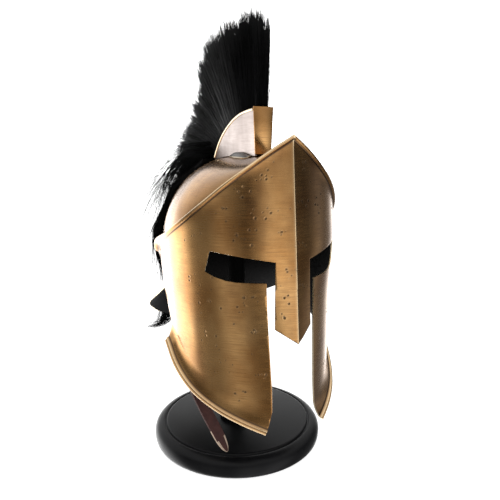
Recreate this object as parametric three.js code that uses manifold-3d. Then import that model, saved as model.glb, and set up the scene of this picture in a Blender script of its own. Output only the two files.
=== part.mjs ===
// Greek bronze helmet with a horsehair crest, on a plain turned stand.
// Millimetres, +Z up. The helmet faces -Y, the wearer's right side is -X, and the
// origin is the centre of the underside of the stand.
import * as THREE from 'three';
import { mergeVertices } from 'three/addons/utils/BufferGeometryUtils.js';
import Module from 'manifold-3d';

// ---------------------------------------------------------------- driving dimensions
const BASE_RADIUS = 100;        // turned stand disc
const BASE_HEIGHT = 22;
const GROOVE_RADIUS = 87;       // ring groove round the flat top of the disc
const GROOVE_WIDTH = 2.4;
const GROOVE_DEPTH = 2.2;
const POST_RADIUS = 10;         // post hidden inside the helmet
const POST_FOOT_RADIUS = 21;
const POST_HEAD_RADIUS = 27;    // ball that carries the skull

const WALL = 1.6;               // beaten sheet metal
const GAP = 0.3;                // clearance kept between neighbouring pieces
const PEAK_Z = 357.5;           // top of the face ridge
const PEAK_Y = -121.5;
const RIDGE_LEAN = 0.084;       // the face ridge comes forward this much per mm downwards
const WIDEST_Y = -33;           // station where the helmet is widest
const BACK_LENGTH = 146;        // from the widest station to the back of the skull
const KEEL_REACH = 75;          // half width over which the face is pulled to a keel
const SKULL_TOP_Z = 336;
const FLANGE_FRONT = 5.5;       // outward turn of the lower edge of the cheek plates in front
const FLANGE_SIDE = 9;          // and behind
const FLANGE_HEIGHT = 22;
const HEM_HEIGHT = 4.2;         // folded-over edge of that flange
const BROW_RIM = 5;             // raised lip along the top of the face plate
const NAPE_START_Z = 208;       // the nape guard starts to flare below this height

// half width and keel depth of the horizontal section at each height
const SECTION_TABLE = [
  { z: 50, halfWidth: 85, keel: 17 },
  { z: 110, halfWidth: 85.5, keel: 17 },
  { z: 150, halfWidth: 86.5, keel: 16.5 },
  { z: 175, halfWidth: 87.5, keel: 16 },
  { z: 195, halfWidth: 88.5, keel: 15 },
  { z: 215, halfWidth: 90, keel: 13 },
  { z: 235, halfWidth: 91.5, keel: 11 },
  { z: 255, halfWidth: 92.5, keel: 9.5 },
  { z: 280, halfWidth: 91.8, keel: 10 },
  { z: 360, halfWidth: 90.5, keel: 11 },
];

// height of the upper edge of the face plate, by angle round from the face ridge
const BROW_TABLE = [
  { angle: 0.0, z: 357.5 },
  { angle: 0.22, z: 344.5 },
  { angle: 0.45, z: 329.5 },
  { angle: 0.67, z: 315.0 },
  { angle: 0.97, z: 294.5 },
  { angle: 1.26, z: 277.0 },
  { angle: 1.57, z: 262.0 },
  { angle: 1.80, z: 251.5 },
  { angle: 1.92, z: 244.5 },
  { angle: 1.99, z: 235.0 },
];

// height of the lower edge of the cheek plates, by angle round from the face ridge
const CHEEK_TABLE = [
  { angle: 0.0, z: 59.0 },
  { angle: 0.30, z: 70.5 },
  { angle: 0.60, z: 80.5 },
  { angle: 0.90, z: 91.0 },
  { angle: 1.15, z: 102.0 },
  { angle: 1.35, z: 115.0 },
  { angle: 1.55, z: 132.0 },
  { angle: 1.64, z: 142.0 },
];

// angle at which the face plate ends behind the ear, by height
const REAR_EDGE_TABLE = [
  { z: 60, angle: 1.64 },
  { z: 142, angle: 1.64 },
  { z: 165, angle: 1.70 },
  { z: 180, angle: 1.78 },
  { z: 195, angle: 1.87 },
  { z: 215, angle: 1.93 },
  { z: 235, angle: 1.99 },
  { z: 360, angle: 1.99 },
];

// outline of the face opening and eye slots, right half seen from the front
const OPENING_TABLE = [
  { x: 0.0, z: 161.0 },
  { x: 20.3, z: 175.5 },
  { x: 19.0, z: 240.5 },
  { x: 45.0, z: 245.0 },
  { x: 71.0, z: 250.0 },
  { x: 74.0, z: 229.5 },
  { x: 67.5, z: 225.0 },
  { x: 59.0, z: 222.0 },
  { x: 51.0, z: 220.8 },
  { x: 26.8, z: 220.5 },
  { x: 25.5, z: 170.0 },
  { x: 24.0, z: 115.0 },
  { x: 24.4, z: 93.0 },
  { x: 28.0, z: 78.0 },
  { x: 30.5, z: 71.0 },
  { x: 31.0, z: 50.0 },
];

// lower edge of the skull behind the cheek plates: height and outward flare
const NAPE_TABLE = [
  { angle: 1.82, z: 198, flare: 0 },
  { angle: 1.90, z: 193, flare: 1.5 },
  { angle: 2.00, z: 181, flare: 10 },
  { angle: 2.16, z: 165, flare: 22 },
  { angle: 2.42, z: 147, flare: 29 },
  { angle: 2.72, z: 126, flare: 32 },
  { angle: 3.00, z: 113, flare: 33 },
  { angle: Math.PI, z: 110, flare: 33 },
];

// crest holder seen from the side: top edge of the side plates
const HOLDER_TABLE = [
  { y: -63.5, z: 383.5 },
  { y: -56.0, z: 383.0 },
  { y: -38.0, z: 381.0 },
  { y: -20.0, z: 376.5 },
  { y: -3.0, z: 369.5 },
  { y: 12.0, z: 361.0 },
  { y: 24.0, z: 351.5 },
  { y: 35.0, z: 340.0 },
  { y: 41.0, z: 332.0 },
];
const HOLDER_FRONT_Y = -65;
const HOLDER_FRONT_Z = 386.5;
const HOLDER_HALF_TOP = 11;
const HOLDER_HALF_FOOT = 8.8;
const HOLDER_SHEET = 1.5;
const HOLDER_BEAD = 1.3;
const SEAT = 0.7;               // the channel stands this far off the crown of the dome
const HAIR_FRONT_Y = HOLDER_FRONT_Y + HOLDER_SHEET + 0.4;

// locks of the standing crest, from the front to the back: root on the holder, lean back
// from upright in degrees, length, half thickness across and half width along at the end
const LOCK_TABLE = [
  { y: -52, z: 372, lean: -1, length: 106, across: 11, along: 8 },
  { y: -44, z: 371, lean: 2, length: 118, across: 12, along: 9 },
  { y: -35, z: 369, lean: 8, length: 110, across: 12, along: 9 },
  { y: -26, z: 366, lean: 16, length: 126, across: 13, along: 10 },
  { y: -17, z: 362, lean: 25, length: 134, across: 13, along: 10 },
  { y: -8, z: 358, lean: 33, length: 154, across: 14, along: 11 },
  { y: 0, z: 354, lean: 39, length: 140, across: 15, along: 11 },
  { y: 7, z: 350, lean: 46, length: 112, across: 17, along: 11 },
  { y: 14, z: 347, lean: 54, length: 108, across: 19, along: 12 },
  { y: 21, z: 344, lean: 62, length: 102, across: 22, along: 12 },
  { y: 28, z: 342, lean: 70, length: 104, across: 25, along: 13 },
  { y: 33, z: 340, lean: 78, length: 104, across: 28, along: 13 },
  { y: 38, z: 342, lean: 86, length: 98, across: 31, along: 12 },
  { y: 42, z: 343, lean: 94, length: 88, across: 32, along: 10 },
];

// route and width of the chin strap, from its fixed end inside the right cheek plate
const STRAP_TABLE = [
  { x: -83.0, y: -31, z: 160, width: 15 },
  { x: -82.4, y: -34, z: 145, width: 15 },
  { x: -80.6, y: -39, z: 122, width: 15 },
  { x: -73.5, y: -49, z: 97, width: 14 },
  { x: -64.0, y: -59, z: 70, width: 14 },
  { x: -53.5, y: -66.5, z: 44, width: 13.5 },
  { x: -47.2, y: -70.0, z: 28.5, width: 8 },
  { x: -45.4, y: -70.6, z: 23.6, width: 2.5 },
];
const STRAP_THICKNESS = 2;

// ---------------------------------------------------------------- small helpers
const wasm = await Module();
wasm.setup();

// smooth reading of one column of a table whose rows are sorted by another column
function read(table, key, value, column) {
  const last = table.length - 1;
  if (value <= table[0][key]) return table[0][column];
  if (value >= table[last][key]) return table[last][column];
  let i = 0;
  while (table[i + 1][key] < value) i += 1;
  const slope = (a, b) => (table[b][column] - table[a][column]) / (table[b][key] - table[a][key]);
  const here = slope(i, i + 1);
  const before = i > 0 ? slope(i - 1, i) : here;
  const after = i + 2 <= last ? slope(i + 1, i + 2) : here;
  const blend = (a, b) => (a * b <= 0 ? 0 : (2 * a * b) / (a + b));
  const m0 = i > 0 ? blend(before, here) : here;
  const m1 = i + 2 <= last ? blend(here, after) : here;
  const h = table[i + 1][key] - table[i][key];
  const s = (value - table[i][key]) / h;
  const s2 = s * s;
  const s3 = s2 * s;
  return table[i][column] * (2 * s3 - 3 * s2 + 1) + h * m0 * (s3 - 2 * s2 + s)
    + table[i + 1][column] * (3 * s2 - 2 * s3) + h * m1 * (s3 - s2);
}

const clamp = (v, lo, hi) => Math.min(hi, Math.max(lo, v));
const smooth = (lo, hi, v) => {
  const s = clamp((v - lo) / (hi - lo), 0, 1);
  return s * s * (3 - 2 * s);
};

// plan of the helmet at one height; the angle is 0 at the face ridge and PI at the back
function plan(angle, z) {
  const a = Math.min(Math.abs(angle), Math.PI);
  const side = angle < 0 ? -1 : 1;
  const halfWidth = read(SECTION_TABLE, 'z', z, 'halfWidth');
  const keel = read(SECTION_TABLE, 'z', z, 'keel');
  const frontY = PEAK_Y - RIDGE_LEAN * (PEAK_Z - z);
  const x = halfWidth * Math.sin(a);
  let y = WIDEST_Y - BACK_LENGTH * Math.cos(a);
  if (a < Math.PI / 2) {
    const pull = Math.max(0, 1 - x / KEEL_REACH);
    y = WIDEST_Y - (WIDEST_Y - frontY - keel) * Math.cos(a) - keel * pull * pull;
  }
  return [side * x, y];
}

// outward horizontal normal of that plan
function outward(angle, z) {
  const step = 0.01;
  if (Math.abs(angle) < 1e-6) return [0, -1];
  if (Math.abs(Math.abs(angle) - Math.PI) < 1e-6) return [0, 1];
  const side = angle < 0 ? -1 : 1;
  const a = Math.abs(angle);
  const p = plan(side * Math.max(a - step, 1e-5), z);
  const q = plan(side * Math.min(a + step, Math.PI), z);
  const dx = q[0] - p[0];
  const dy = q[1] - p[1];
  const l = Math.hypot(dx, dy);
  return [side * dy / l, -side * dx / l];
}

function pushOut(angle, z, distance) {
  const [x, y] = plan(angle, z);
  const [nx, ny] = outward(angle, z);
  return new THREE.Vector3(x + nx * distance, y + ny * distance, z);
}

// closed wall between two grids of points; columns run anticlockwise seen from outside
function wallGeometry(outer, inner, { ring = false, pole = false } = {}) {
  const columns = outer.length;
  const rows = outer[0].length;
  const points = [];
  const add = (grid) => grid.map((column) => column.map((p) => points.push(p.x, p.y, p.z) / 3 - 1));
  const o = add(outer);
  const n = add(inner);
  const index = [];
  const quad = (a, b, c, d) => index.push(a, b, c, a, c, d);
  const spans = ring ? columns : columns - 1;
  for (let i = 0; i < spans; i += 1) {
    const k = (i + 1) % columns;
    for (let j = 0; j < rows - 1; j += 1) {
      quad(o[i][j], o[k][j], o[k][j + 1], o[i][j + 1]);
      quad(n[k][j], n[i][j], n[i][j + 1], n[k][j + 1]);
    }
    quad(n[i][0], n[k][0], o[k][0], o[i][0]);
    if (!pole) quad(o[i][rows - 1], o[k][rows - 1], n[k][rows - 1], n[i][rows - 1]);
  }
  if (!ring) {
    for (let j = 0; j < rows - 1; j += 1) {
      quad(n[0][j], o[0][j], o[0][j + 1], n[0][j + 1]);
      const e = columns - 1;
      quad(o[e][j], n[e][j], n[e][j + 1], o[e][j + 1]);
    }
  }
  return meshed(points, index);
}

// closed body through a list of loops of equal length, with fan caps
function loftGeometry(loops) {
  const points = [];
  const index = [];
  const count = loops[0].length;
  loops.forEach((loop) => loop.forEach((p) => points.push(p.x, p.y, p.z)));
  for (let j = 0; j < loops.length - 1; j += 1) {
    for (let i = 0; i < count; i += 1) {
      const k = (i + 1) % count;
      const a = j * count + i;
      const b = j * count + k;
      index.push(a, b, b + count, a, b + count, a + count);
    }
  }
  for (let i = 1; i < count - 1; i += 1) {
    const top = (loops.length - 1) * count;
    index.push(0, i + 1, i);
    index.push(top, top + i, top + i + 1);
  }
  return meshed(points, index);
}

// merged, without slivers, and turned so that it faces outwards
function meshed(points, index) {
  let geometry = new THREE.BufferGeometry();
  geometry.setAttribute('position', new THREE.Float32BufferAttribute(points, 3));
  geometry.setIndex(index);
  geometry = mergeVertices(geometry, 1e-3);
  const source = geometry.index.array;
  const kept = [];
  let volume = 0;
  const p = geometry.attributes.position;
  const a = new THREE.Vector3();
  const b = new THREE.Vector3();
  const c = new THREE.Vector3();
  for (let i = 0; i < source.length; i += 3) {
    const [u, v, w] = [source[i], source[i + 1], source[i + 2]];
    if (u === v || v === w || u === w) continue;
    kept.push(u, v, w);
    a.fromBufferAttribute(p, u);
    b.fromBufferAttribute(p, v);
    c.fromBufferAttribute(p, w);
    volume += a.dot(b.cross(c));
  }
  if (volume < 0) {
    for (let i = 0; i < kept.length; i += 3) {
      const swap = kept[i + 1];
      kept[i + 1] = kept[i + 2];
      kept[i + 2] = swap;
    }
  }
  geometry.setIndex(kept);
  return geometry;
}

function solid(geometry) {
  const clean = mergeVertices(new THREE.BufferGeometry()
    .setAttribute('position', geometry.attributes.position.clone())
    .setIndex(geometry.index ? Array.from(geometry.index.array)
      : [...Array(geometry.attributes.position.count).keys()]), 1e-4);
  return new wasm.Manifold(new wasm.Mesh({
    numProp: 3,
    vertProperties: new Float32Array(clean.attributes.position.array),
    triVerts: new Uint32Array(clean.index.array),
  }));
}

function fromSolid(body) {
  const mesh = body.getMesh();
  const geometry = new THREE.BufferGeometry();
  const step = mesh.numProp;
  const count = mesh.vertProperties.length / step;
  const position = new Float32Array(count * 3);
  for (let i = 0; i < count; i += 1) {
    for (let k = 0; k < 3; k += 1) position[i * 3 + k] = mesh.vertProperties[i * step + k];
  }
  geometry.setAttribute('position', new THREE.BufferAttribute(position, 3));
  geometry.setIndex(Array.from(mesh.triVerts));
  return geometry;
}

// ---------------------------------------------------------------- materials
const bronze = new THREE.MeshStandardMaterial({ color: '#b98a4c', roughness: 0.32, metalness: 1 });
const darkMetal = new THREE.MeshStandardMaterial({ color: '#3b3733', roughness: 0.5, metalness: 0.8 });
const hair = new THREE.MeshStandardMaterial({ color: '#0d0d0e', roughness: 0.7, metalness: 0 });
const leather = new THREE.MeshStandardMaterial({ color: '#4a2a22', roughness: 0.65, metalness: 0 });
const black = new THREE.MeshStandardMaterial({ color: '#19191b', roughness: 0.35, metalness: 0 });

const helmet = new THREE.Group();
helmet.name = 'greek_bronze_helmet_on_stand';
function piece(name, geometry, material) {
  const bare = new THREE.BufferGeometry();
  bare.setAttribute('position', geometry.attributes.position);
  bare.setIndex(geometry.index);
  bare.computeVertexNormals();
  const mesh = new THREE.Mesh(bare, material);
  mesh.name = name;
  helmet.add(mesh);
}

// ---------------------------------------------------------------- stand
function standBase() {
  const g = GROOVE_RADIUS;
  const w = GROOVE_WIDTH / 2;
  const h = BASE_HEIGHT;
  const r = BASE_RADIUS;
  const profile = [
    [0, 0], [r - 4, 0], [r - 1.5, 1.5], [r - 0.4, 5], [r, 9.5], [r - 0.8, 13.5], [r - 2.8, 17],
    [r - 5.6, 19.3], [r - 9, 20.6], [g + w, 20.9], [g + w - 0.4, h - GROOVE_DEPTH],
    [g - w + 0.4, h - GROOVE_DEPTH], [g - w, h - 0.7], [g - w - 1.2, h], [0, h],
  ].map(([x, y]) => new THREE.Vector2(x, y));
  const turned = new THREE.LatheGeometry(profile, 48);
  turned.rotateX(Math.PI / 2);
  return fromSolid(solid(turned));
}

function standPost() {
  const foot = BASE_HEIGHT + GAP;
  const top = SKULL_TOP_Z - WALL - GAP - 0.4;
  const centre = top - POST_HEAD_RADIUS;
  const profile = [[0, foot], [POST_FOOT_RADIUS, foot], [POST_FOOT_RADIUS, foot + 4],
    [POST_RADIUS, foot + 7]];
  for (let i = 0; i <= 7; i += 1) {
    const a = -1.18 + (i / 7) * (Math.PI / 2 + 1.18);
    profile.push([Math.max(0, POST_HEAD_RADIUS * Math.cos(a)), centre + POST_HEAD_RADIUS * Math.sin(a)]);
  }
  const turned = new THREE.LatheGeometry(profile.map(([x, y]) => new THREE.Vector2(x, y)), 20);
  turned.rotateX(Math.PI / 2);
  return fromSolid(solid(turned));
}

// ---------------------------------------------------------------- face plate
// brow, nasal and cheek plates in one sheet: distances up from the lower edge and down from
// the upper edge at which the sheet is shaped, with how far it stands out there
const HEM_ROWS = [
  { up: 0, bulge: 0.9 },
  { up: 1.1, bulge: 1.8 },
  { up: 3.0, bulge: 1.8 },
  { up: HEM_HEIGHT, bulge: 0.0 },
  { up: 8, bulge: 0.0 },
  { up: 13, bulge: 0.0 },
  { up: FLANGE_HEIGHT, bulge: 0.0 },
];
const RIM_ROWS = [
  { down: 14, bulge: 0.0 },
  { down: BROW_RIM, bulge: 0.0 },
  { down: 3.4, bulge: 1.7 },
  { down: 1.0, bulge: 2.2 },
  { down: 0, bulge: 1.2 },
];
const FACE_COLUMNS = 23;         // on each side of the ridge
const FACE_MIDDLE_ROWS = 4;
const RIM_FLARE = 1.2;
const RIM_FLARE_BACK = 4.2;

function facePlate() {
  const outer = [];
  const inner = [];
  for (let i = -FACE_COLUMNS; i <= FACE_COLUMNS; i += 1) {
    const u = Math.abs(i) / FACE_COLUMNS;
    const side = i < 0 ? -1 : 1;
    const topZ = read(BROW_TABLE, 'angle', u * 1.99, 'z');
    const footZ = read(CHEEK_TABLE, 'angle', u * 1.64, 'z');
    const levels = HEM_ROWS.map((row) => ({ z: footZ + row.up, up: row.up, down: 99, bulge: row.bulge }));
    const from = footZ + FLANGE_HEIGHT;
    const to = topZ - RIM_ROWS[0].down;
    for (let k = 1; k <= FACE_MIDDLE_ROWS; k += 1) {
      const z = from + ((to - from) * k) / (FACE_MIDDLE_ROWS + 1);
      levels.push({ z, up: 99, down: 99, bulge: 0 });
    }
    RIM_ROWS.forEach((row) => levels.push({ z: topZ - row.down, up: 99, down: row.down, bulge: row.bulge }));
    const outerColumn = [];
    const innerColumn = [];
    levels.forEach(({ z, up, down, bulge }) => {
      const angle = side * u * read(REAR_EDGE_TABLE, 'z', z, 'angle');
      const turn = FLANGE_FRONT + (FLANGE_SIDE - FLANGE_FRONT) * smooth(0.55, 0.95, u);
      const flange = up < FLANGE_HEIGHT ? turn * (1 - up / FLANGE_HEIGHT) ** 2 : 0;
      const lip = RIM_FLARE + (RIM_FLARE_BACK - RIM_FLARE) * smooth(0.8, 1, u);
      const rim = down < 14 ? lip * (1 - down / 14) ** 2 : 0;
      const stand = flange + rim;
      outerColumn.push(pushOut(angle, z, stand + bulge));
      innerColumn.push(pushOut(angle, z, stand - WALL));
    });
    outer.push(outerColumn);
    inner.push(innerColumn);
  }
  const sheet = solid(wallGeometry(outer, inner));

  const half = OPENING_TABLE.map(({ x, z }) => [x, z]);
  const mirrored = half.slice(1).reverse().map(([x, z]) => [-x, z]);
  const shape = new THREE.Shape([...half, ...mirrored].map(([x, z]) => new THREE.Vector2(x, z)));
  const cutter = new THREE.ExtrudeGeometry(shape, { depth: 160, bevelEnabled: false });
  cutter.rotateX(Math.PI / 2);
  cutter.translate(0, -50, 0);
  return fromSolid(sheet.subtract(solid(cutter)));
}

// ---------------------------------------------------------------- skull with its nape guard
const SKULL_INSET = WALL + 1.3;   // the skull tucks inside the face plate
const SKULL_LAP = 15;             // and reaches this far below the brow line
const SKULL_STEPS = 25;           // columns on each side
const WAIST = 7;                  // the back draws in above the nape guard

function equatorZ(angle) {
  const a = Math.abs(angle);
  const front = read(BROW_TABLE, 'angle', Math.min(a, 1.99), 'z') - 6;
  return front + (238 - front) * smooth(1.9, 2.3, a);
}

function skullFootZ(angle) {
  const a = Math.abs(angle);
  const hidden = read(BROW_TABLE, 'angle', Math.min(a, 1.99), 'z') - SKULL_LAP;
  const nape = read(NAPE_TABLE, 'angle', a, 'z');
  return hidden + (nape - hidden) * smooth(1.66, 1.82, a);
}

// outer surface of the skull below its equator
function skullSide(angle, z, extra = 0) {
  const a = Math.abs(angle);
  const foot = skullFootZ(angle);
  const flare = read(NAPE_TABLE, 'angle', a, 'flare');
  let stand = -SKULL_INSET;
  if (z < NAPE_START_Z && a > 1.82) {
    const drop = clamp((NAPE_START_Z - z) / (NAPE_START_Z - foot), 0, 1.2);
    stand += flare * drop * drop;
  }
  const hollow = Math.max(0, 1 - ((z - 206) / 46) ** 2);
  stand -= WAIST * smooth(2.1, 2.9, a) * hollow * hollow;
  return pushOut(angle, z, stand + extra);
}

// outer surface of the dome above the equator; rise runs from 0 to PI / 2 at the top
function domePoint(angle, rise, extra = 0) {
  const z = equatorZ(angle);
  const p = skullSide(angle, z, extra);
  const c = Math.cos(rise);
  return new THREE.Vector3(p.x * c, p.y * c, z + (SKULL_TOP_Z + extra - z) * Math.sin(rise));
}

// height of the dome over a point of the plan
function domeZ(x, y) {
  const bearing = Math.atan2(Math.abs(x), -y);
  let lo = 0;
  let hi = Math.PI;
  for (let i = 0; i < 40; i += 1) {
    const mid = (lo + hi) / 2;
    const p = domePoint(mid, 0);
    if (Math.atan2(p.x, -p.y) < bearing) lo = mid;
    else hi = mid;
  }
  const edge = domePoint((lo + hi) / 2, 0);
  const c = Math.min(1, Math.hypot(x, y) / Math.hypot(edge.x, edge.y));
  return edge.z + (SKULL_TOP_Z - edge.z) * Math.sqrt(1 - c * c);
}

function skullShell() {
  const angles = [];
  const breaks = [0, 0.25, 0.5, 0.75, 1.0, 1.25, 1.5, 1.66, 1.74, 1.82, 1.9, 2.02, 2.14, 2.26, 2.38,
    2.5, 2.62, 2.74, 2.88, 3.02];
  breaks.forEach((a) => angles.push(a));
  angles.push(Math.PI);
  breaks.slice(1).reverse().forEach((a) => angles.push(-a));
  const outer = [];
  const inner = [];
  const lower = [0, 0.06, 0.2, 0.36, 0.54, 0.76];
  const rises = [0, 0.2, 0.42, 0.66, 0.92, 1.2, 1.4, Math.PI / 2];
  angles.forEach((angle) => {
    const foot = skullFootZ(angle);
    const eq = equatorZ(angle);
    const rim = 1.0 * smooth(1.82, 2.1, Math.abs(angle));
    const outerColumn = [];
    const innerColumn = [];
    lower.forEach((s, k) => {
      const z = foot + (eq - foot) * s;
      const bead = k < 2 ? rim : 0;
      outerColumn.push(skullSide(angle, z, bead));
      innerColumn.push(skullSide(angle, z, -WALL));
    });
    rises.forEach((r) => {
      outerColumn.push(domePoint(angle, r));
      innerColumn.push(domePoint(angle, r, -WALL));
    });
    outer.push(outerColumn);
    inner.push(innerColumn);
  });
  return wallGeometry(outer, inner, { ring: true, pole: true });
}

// ---------------------------------------------------------------- crest holder
// a folded channel: front plate, two side plates with a wired edge, and a floor on the dome
function holderHalf(z) {
  const s = clamp((z - 334) / (HOLDER_FRONT_Z - 334), -0.1, 1.1);
  return HOLDER_HALF_FOOT + (HOLDER_HALF_TOP - HOLDER_HALF_FOOT) * s;
}

function prism(points, halfWidth) {
  const shape = new THREE.Shape(points.map(([y, z]) => new THREE.Vector2(y, z)));
  const body = new THREE.ExtrudeGeometry(shape, { depth: 2 * halfWidth, bevelEnabled: false });
  body.translate(0, 0, -halfWidth);
  // the shape's plane becomes YZ and the depth becomes X
  const turn = new THREE.Matrix4().set(0, 0, 1, 0, 1, 0, 0, 0, 0, 1, 0, 0, 0, 0, 0, 1);
  body.applyMatrix4(turn);
  return solid(body);
}

function crestHolder() {
  const footLine = [];
  for (let k = 0; k <= 8; k += 1) {
    const y = HOLDER_FRONT_Y + ((41 - HOLDER_FRONT_Y) * k) / 8;
    footLine.push([y, domeZ(0, y) + SEAT]);
  }
  const topLine = HOLDER_TABLE.slice().reverse().map(({ y, z }) => [y, z]);
  topLine[0] = [41.5, domeZ(0, 41.5) + SEAT + HOLDER_SHEET + 0.6];
  const front = [[HOLDER_FRONT_Y + HOLDER_SHEET, HOLDER_FRONT_Z], [HOLDER_FRONT_Y, HOLDER_FRONT_Z]];
  const outline = [...footLine, ...topLine, ...front];
  const block = prism(outline, 1);
  const hollowFoot = footLine.map(([y, z]) => [y, z + HOLDER_SHEET]);
  hollowFoot[0][0] = HOLDER_FRONT_Y + HOLDER_SHEET;
  hollowFoot.push([60, hollowFoot[8][1] - 8], [60, 420], [HOLDER_FRONT_Y + HOLDER_SHEET, 420]);
  const hollow = prism(hollowFoot, 1);
  const wide = (inset) => (v) => {
    v[0] *= holderHalf(v[2]) - inset;
  };
  let channel = block.warp(wide(0)).subtract(hollow.warp(wide(HOLDER_SHEET)));
  [-1, 1].forEach((side) => {
    const loops = HOLDER_TABLE.map(({ y, z }, i) => {
      const next = HOLDER_TABLE[Math.min(i + 1, HOLDER_TABLE.length - 1)];
      const last = HOLDER_TABLE[Math.max(i - 1, 0)];
      const along = new THREE.Vector3(0, next.y - last.y, next.z - last.z).normalize();
      const up = new THREE.Vector3(0, -along.z, along.y);
      const lift = i === HOLDER_TABLE.length - 1 ? 0.6 : 0;
      const middle = new THREE.Vector3(side * (holderHalf(z) - 0.1), y, z - 0.3 + lift);
      return [0, 1, 2, 3, 4, 5].map((k) => {
        const a = (k * Math.PI) / 3;
        return middle.clone()
          .addScaledVector(up, HOLDER_BEAD * Math.cos(a))
          .add(new THREE.Vector3(side * HOLDER_BEAD * Math.sin(a), 0, 0));
      });
    });
    channel = channel.add(solid(loftGeometry(loops)));
  });
  return fromSolid(channel);
}

// small dark tab at the foot of each side plate
function crestTab(side) {
  const rows = [
    { y: -8, out: 1.5, rise: 1.2 },
    { y: -18, out: 3.6, rise: 4.4 },
    { y: -30, out: 5.2, rise: 5.4 },
    { y: -42, out: 6.6, rise: 4.2 },
    { y: -52, out: 6.4, rise: 1.8 },
    { y: -57, out: 3.5, rise: 1.0 },
  ];
  const loops = rows.map(({ y, out, rise }) => {
    const base = HOLDER_HALF_FOOT + HOLDER_BEAD * 0.5 + 0.9;
    const at = (x, lift) => new THREE.Vector3(side * x, y, domeZ(x, y) + GAP + 0.1 + lift);
    return [at(base, 0), at(base + out, 0), at(base + out, 1.3), at(base + out * 0.4, rise + 0.9),
      at(base, rise + 0.9)];
  });
  return loftGeometry(loops);
}

// ---------------------------------------------------------------- horsehair
function lock(root, direction, across, length, along, halfAcross, halfAlong, rootAcross) {
  const stations = [
    { s: 0, across: 0, along: 0.42 },
    { s: 0.3, across: 0.35, along: 0.75 },
    { s: 0.66, across: 0.85, along: 1.0 },
    { s: 0.86, across: 0.8, along: 0.72 },
    { s: 1.0, across: 0.12, along: 0.1 },
  ];
  const loops = stations.map((row) => {
    const middle = root.clone().addScaledVector(direction, length * row.s);
    const a = rootAcross + (halfAcross - rootAcross) * row.across;
    const w = row.s === 1 ? 1.2 : halfAlong * row.along;
    const wide = row.s === 1 ? 2.2 : a;
    return [0, 1, 2, 3, 4, 5].map((k) => {
      const t = (k * Math.PI) / 3 + Math.PI / 6;
      return middle.clone()
        .addScaledVector(across, wide * Math.cos(t))
        .addScaledVector(along, w * Math.sin(t));
    });
  });
  return solid(loftGeometry(loops));
}

function crestPlume() {
  let body = null;
  const join = (next) => {
    body = body ? body.add(next) : next;
  };
  // root of the hair inside the channel
  const root = [];
  for (let k = 0; k <= 6; k += 1) {
    const y = HAIR_FRONT_Y + ((46 - HAIR_FRONT_Y) * k) / 6;
    root.push([y, domeZ(0, y) + SEAT + HOLDER_SHEET + 0.9]);
  }
  root.push([52, domeZ(0, 52) + 10], [38, 346], [20, 360], [0, 372], [-30, 384],
    [-60, 388], [HAIR_FRONT_Y, 385]);
  join(prism(root, 7.4));
  LOCK_TABLE.forEach((row, i) => {
    const lean = (row.lean * Math.PI) / 180;
    const split = row.across > 16 ? [-1, 1] : [i % 2 ? 1 : -1];
    split.forEach((side) => {
      const tilt = row.across > 16 ? side * 0.16 * (row.across / 30) : side * 0.015;
      const direction = new THREE.Vector3(Math.sin(tilt),
        Math.sin(lean) * Math.cos(tilt), Math.cos(lean) * Math.cos(tilt));
      const along = new THREE.Vector3(0, Math.cos(lean), -Math.sin(lean));
      const across = new THREE.Vector3().crossVectors(along, direction).normalize();
      const halfAcross = row.across > 16 ? row.across * 0.62 : row.across;
      const start = new THREE.Vector3(row.across > 16 ? side * 3 : 0, row.y, row.z);
      join(lock(start, direction, across, row.length * (side > 0 ? 1 : 0.96), along,
        halfAcross, row.along, row.across > 16 ? 4.4 : 7.4));
    });
  });
  // the hair is squeezed between the side plates and stays clear of their wired edges
  const brink = HOLDER_TABLE.map(({ y, z }) => [y + 1.4, z + 1.9]);
  const under = [[48, 300], [HOLDER_FRONT_Y - 4, 300], [HOLDER_FRONT_Y - 4, 388]];
  const zone = prism([...brink, [48, 330], ...under], 60);
  const floor = [];
  for (let k = 0; k <= 10; k += 1) {
    const y = 44 - ((44 - HAIR_FRONT_Y) * k) / 10;
    floor.push([y, domeZ(0, y) + SEAT + HOLDER_SHEET + 0.5]);
  }
  const inside = prism([...brink, ...floor, [HAIR_FRONT_Y, 385.2]], 1);
  const core = inside.warp((v) => {
    v[0] *= holderHalf(v[2]) - HOLDER_SHEET - GAP - 1.0;
  });
  const loose = body.subtract(zone.subtract(core)).decompose();
  loose.sort((a, b) => b.volume() - a.volume());
  return fromSolid(loose[0]);
}

// long hair that lies down the back of the skull, in grooved locks
const TAIL_FROM = 2.08;           // where it starts on the sides, by angle
const TAIL_TOP_RISE = 0.86;
const TAIL_LOCKS = 9;
const TAIL_CLEAR = 2.2;           // off the metal, which is faceted
const TAIL_FOOT_TABLE = [
  { angle: 2.08, z: 214 },
  { angle: 2.3, z: 186 },
  { angle: 2.6, z: 166 },
  { angle: 2.9, z: 152 },
  { angle: Math.PI, z: 146 },
];

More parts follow.
